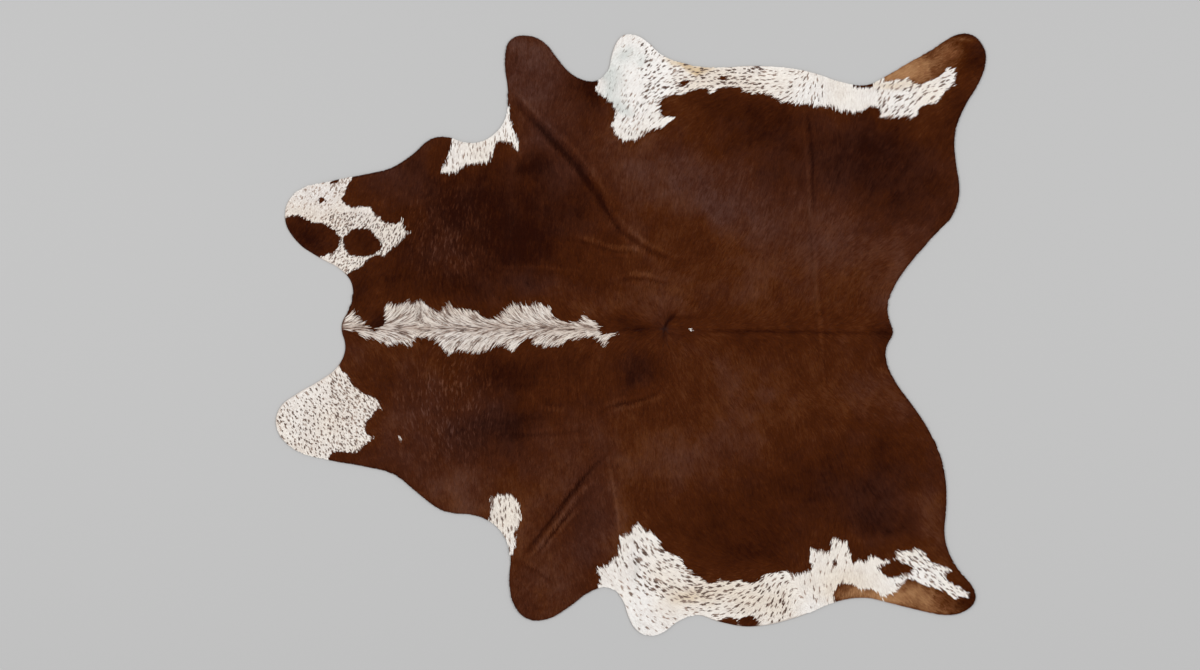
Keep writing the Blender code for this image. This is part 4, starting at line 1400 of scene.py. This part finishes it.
class COWHIDE_OT_declare_sheet(bpy.types.Operator):
    """Does nothing; the hide stays one skin, laid flat, with its coat on it"""

    bl_idname = "cowhide.declare_sheet"
    bl_label = "Declare the Sheet"

    def execute(self, context):
        return {"FINISHED"}


# The camera stands over this point, and the softboxes at these: name, place, share of the power
CAMERA_OVER = (-0.0918, -0.0016)
SENSOR = 36.0
SOFTBOX_SIZE = 2.4
SOFTBOXES = (("softbox left", (-3.4, 0.7, 4.8), 0.88), ("softbox right", (3.6, 0.5, 5.0), 0.90))
FLOOR_HALF = 14.0
FLOOR_LEVEL = -0.0006       # just under the hide, so that the two never share a plane


class COWHIDE_OT_set_stage(bpy.types.Operator):
    """Set the floor, the soft light and the camera above the hide"""

    bl_idname = "cowhide.set_stage"
    bl_label = "Set the Stage"

    def execute(self, context):
        scene = context.scene
        stage = scene.cowhide_stage
        scene.view_settings.view_transform = "Standard"
        scene.view_settings.look = "None"
        self.floor(scene, stage)
        self.light(scene, stage)
        self.camera(scene, stage)
        return {"FINISHED"}

    @staticmethod
    def floor(scene, stage):
        mesh = bpy.data.meshes.new("floor")
        signs = ((-1, -1), (1, -1), (1, 1), (-1, 1))
        corners = [(FLOOR_HALF * x, FLOOR_HALF * y, FLOOR_LEVEL) for x, y in signs]
        mesh.from_pydata(corners, [], [(0, 1, 2, 3)])
        material, tree, shader = new_material("studio floor")
        share = ranged(tree, grained(tree, 0.8, 2.0), 0.3, 0.7, 0.0, 0.04)
        feed(tree, shader, {
            "Base Color": mixed(tree, share, colour_socket(stage.floor), (0.5, 0.5, 0.5, 1.0)),
            "Roughness": 0.9,
            "Specular IOR Level": 0.1,
        })
        mesh.materials.append(material)
        floor = bpy.data.objects.new("floor", mesh)
        scene.collection.objects.link(floor)

    @staticmethod
    def light(scene, stage):
        world = bpy.data.worlds.new("studio")
        world.use_nodes = True
        sky = world.node_tree.nodes["Background"]
        feed(world.node_tree, sky, {"Color": (1.0, 1.0, 1.0, 1.0), "Strength": stage.sky})
        scene.world = world
        for name, place, power in SOFTBOXES:
            data = bpy.data.lights.new(name, "AREA")
            data.shape = "SQUARE"
            data.size = SOFTBOX_SIZE
            data.energy = stage.softbox * power
            lamp = bpy.data.objects.new(name, data)
            lamp.location = place
            lamp.rotation_euler = (-Vector(place)).to_track_quat("-Z", "Y").to_euler()
            scene.collection.objects.link(lamp)

    @staticmethod
    def camera(scene, stage):
        data = bpy.data.cameras.new("camera")
        data.sensor_width = SENSOR
        data.lens = SENSOR * stage.camera_height / stage.view_width
        camera = bpy.data.objects.new("camera", data)
        camera.location = (*CAMERA_OVER, stage.camera_height)
        scene.collection.objects.link(camera)
        scene.camera = camera


class COWHIDE_PT_panel(bpy.types.Panel):
    """Everything that makes the rug, in the order in which it is made"""

    bl_idname = "COWHIDE_PT_panel"
    bl_label = "Cowhide Rug"
    bl_space_type = "VIEW_3D"
    bl_region_type = "UI"
    bl_category = "Cowhide"

    def draw(self, context):
        scene = context.scene
        for title, settings, operators in (
            ("Hide", scene.cowhide_sheet, (COWHIDE_OT_lay_hide,)),
            ("Coat", scene.cowhide_coat, (COWHIDE_OT_grow_coat, COWHIDE_OT_declare_sheet)),
            ("Stage", scene.cowhide_stage, (COWHIDE_OT_set_stage,)),
        ):
            box = self.layout.box()
            box.label(text=title)
            for name in settings.bl_rna.properties.keys():
                if name not in {"rna_type", "name"}:
                    box.prop(settings, name)
            for operator in operators:
                box.operator(operator.bl_idname)


SETTINGS = {
    "cowhide_sheet": CowhideSheetSettings,
    "cowhide_coat": CowhideCoatSettings,
    "cowhide_stage": CowhideStageSettings,
}
OPERATORS = (COWHIDE_OT_lay_hide, COWHIDE_OT_grow_coat, COWHIDE_OT_declare_sheet, COWHIDE_OT_set_stage)


def register():
    for name, settings in SETTINGS.items():
        bpy.utils.register_class(settings)
        setattr(bpy.types.Scene, name, bpy.props.PointerProperty(type=settings))
    for operator in OPERATORS:
        bpy.utils.register_class(operator)
    bpy.utils.register_class(COWHIDE_PT_panel)


def unregister():
    bpy.utils.unregister_class(COWHIDE_PT_panel)
    for operator in reversed(OPERATORS):
        bpy.utils.unregister_class(operator)
    for name, settings in SETTINGS.items():
        delattr(bpy.types.Scene, name)
        bpy.utils.unregister_class(settings)


def main():
    register()
    for operator in OPERATORS:
        group, name = operator.bl_idname.split(".")
        getattr(getattr(bpy.ops, group), name)()


if __name__ == "__main__":
    main()
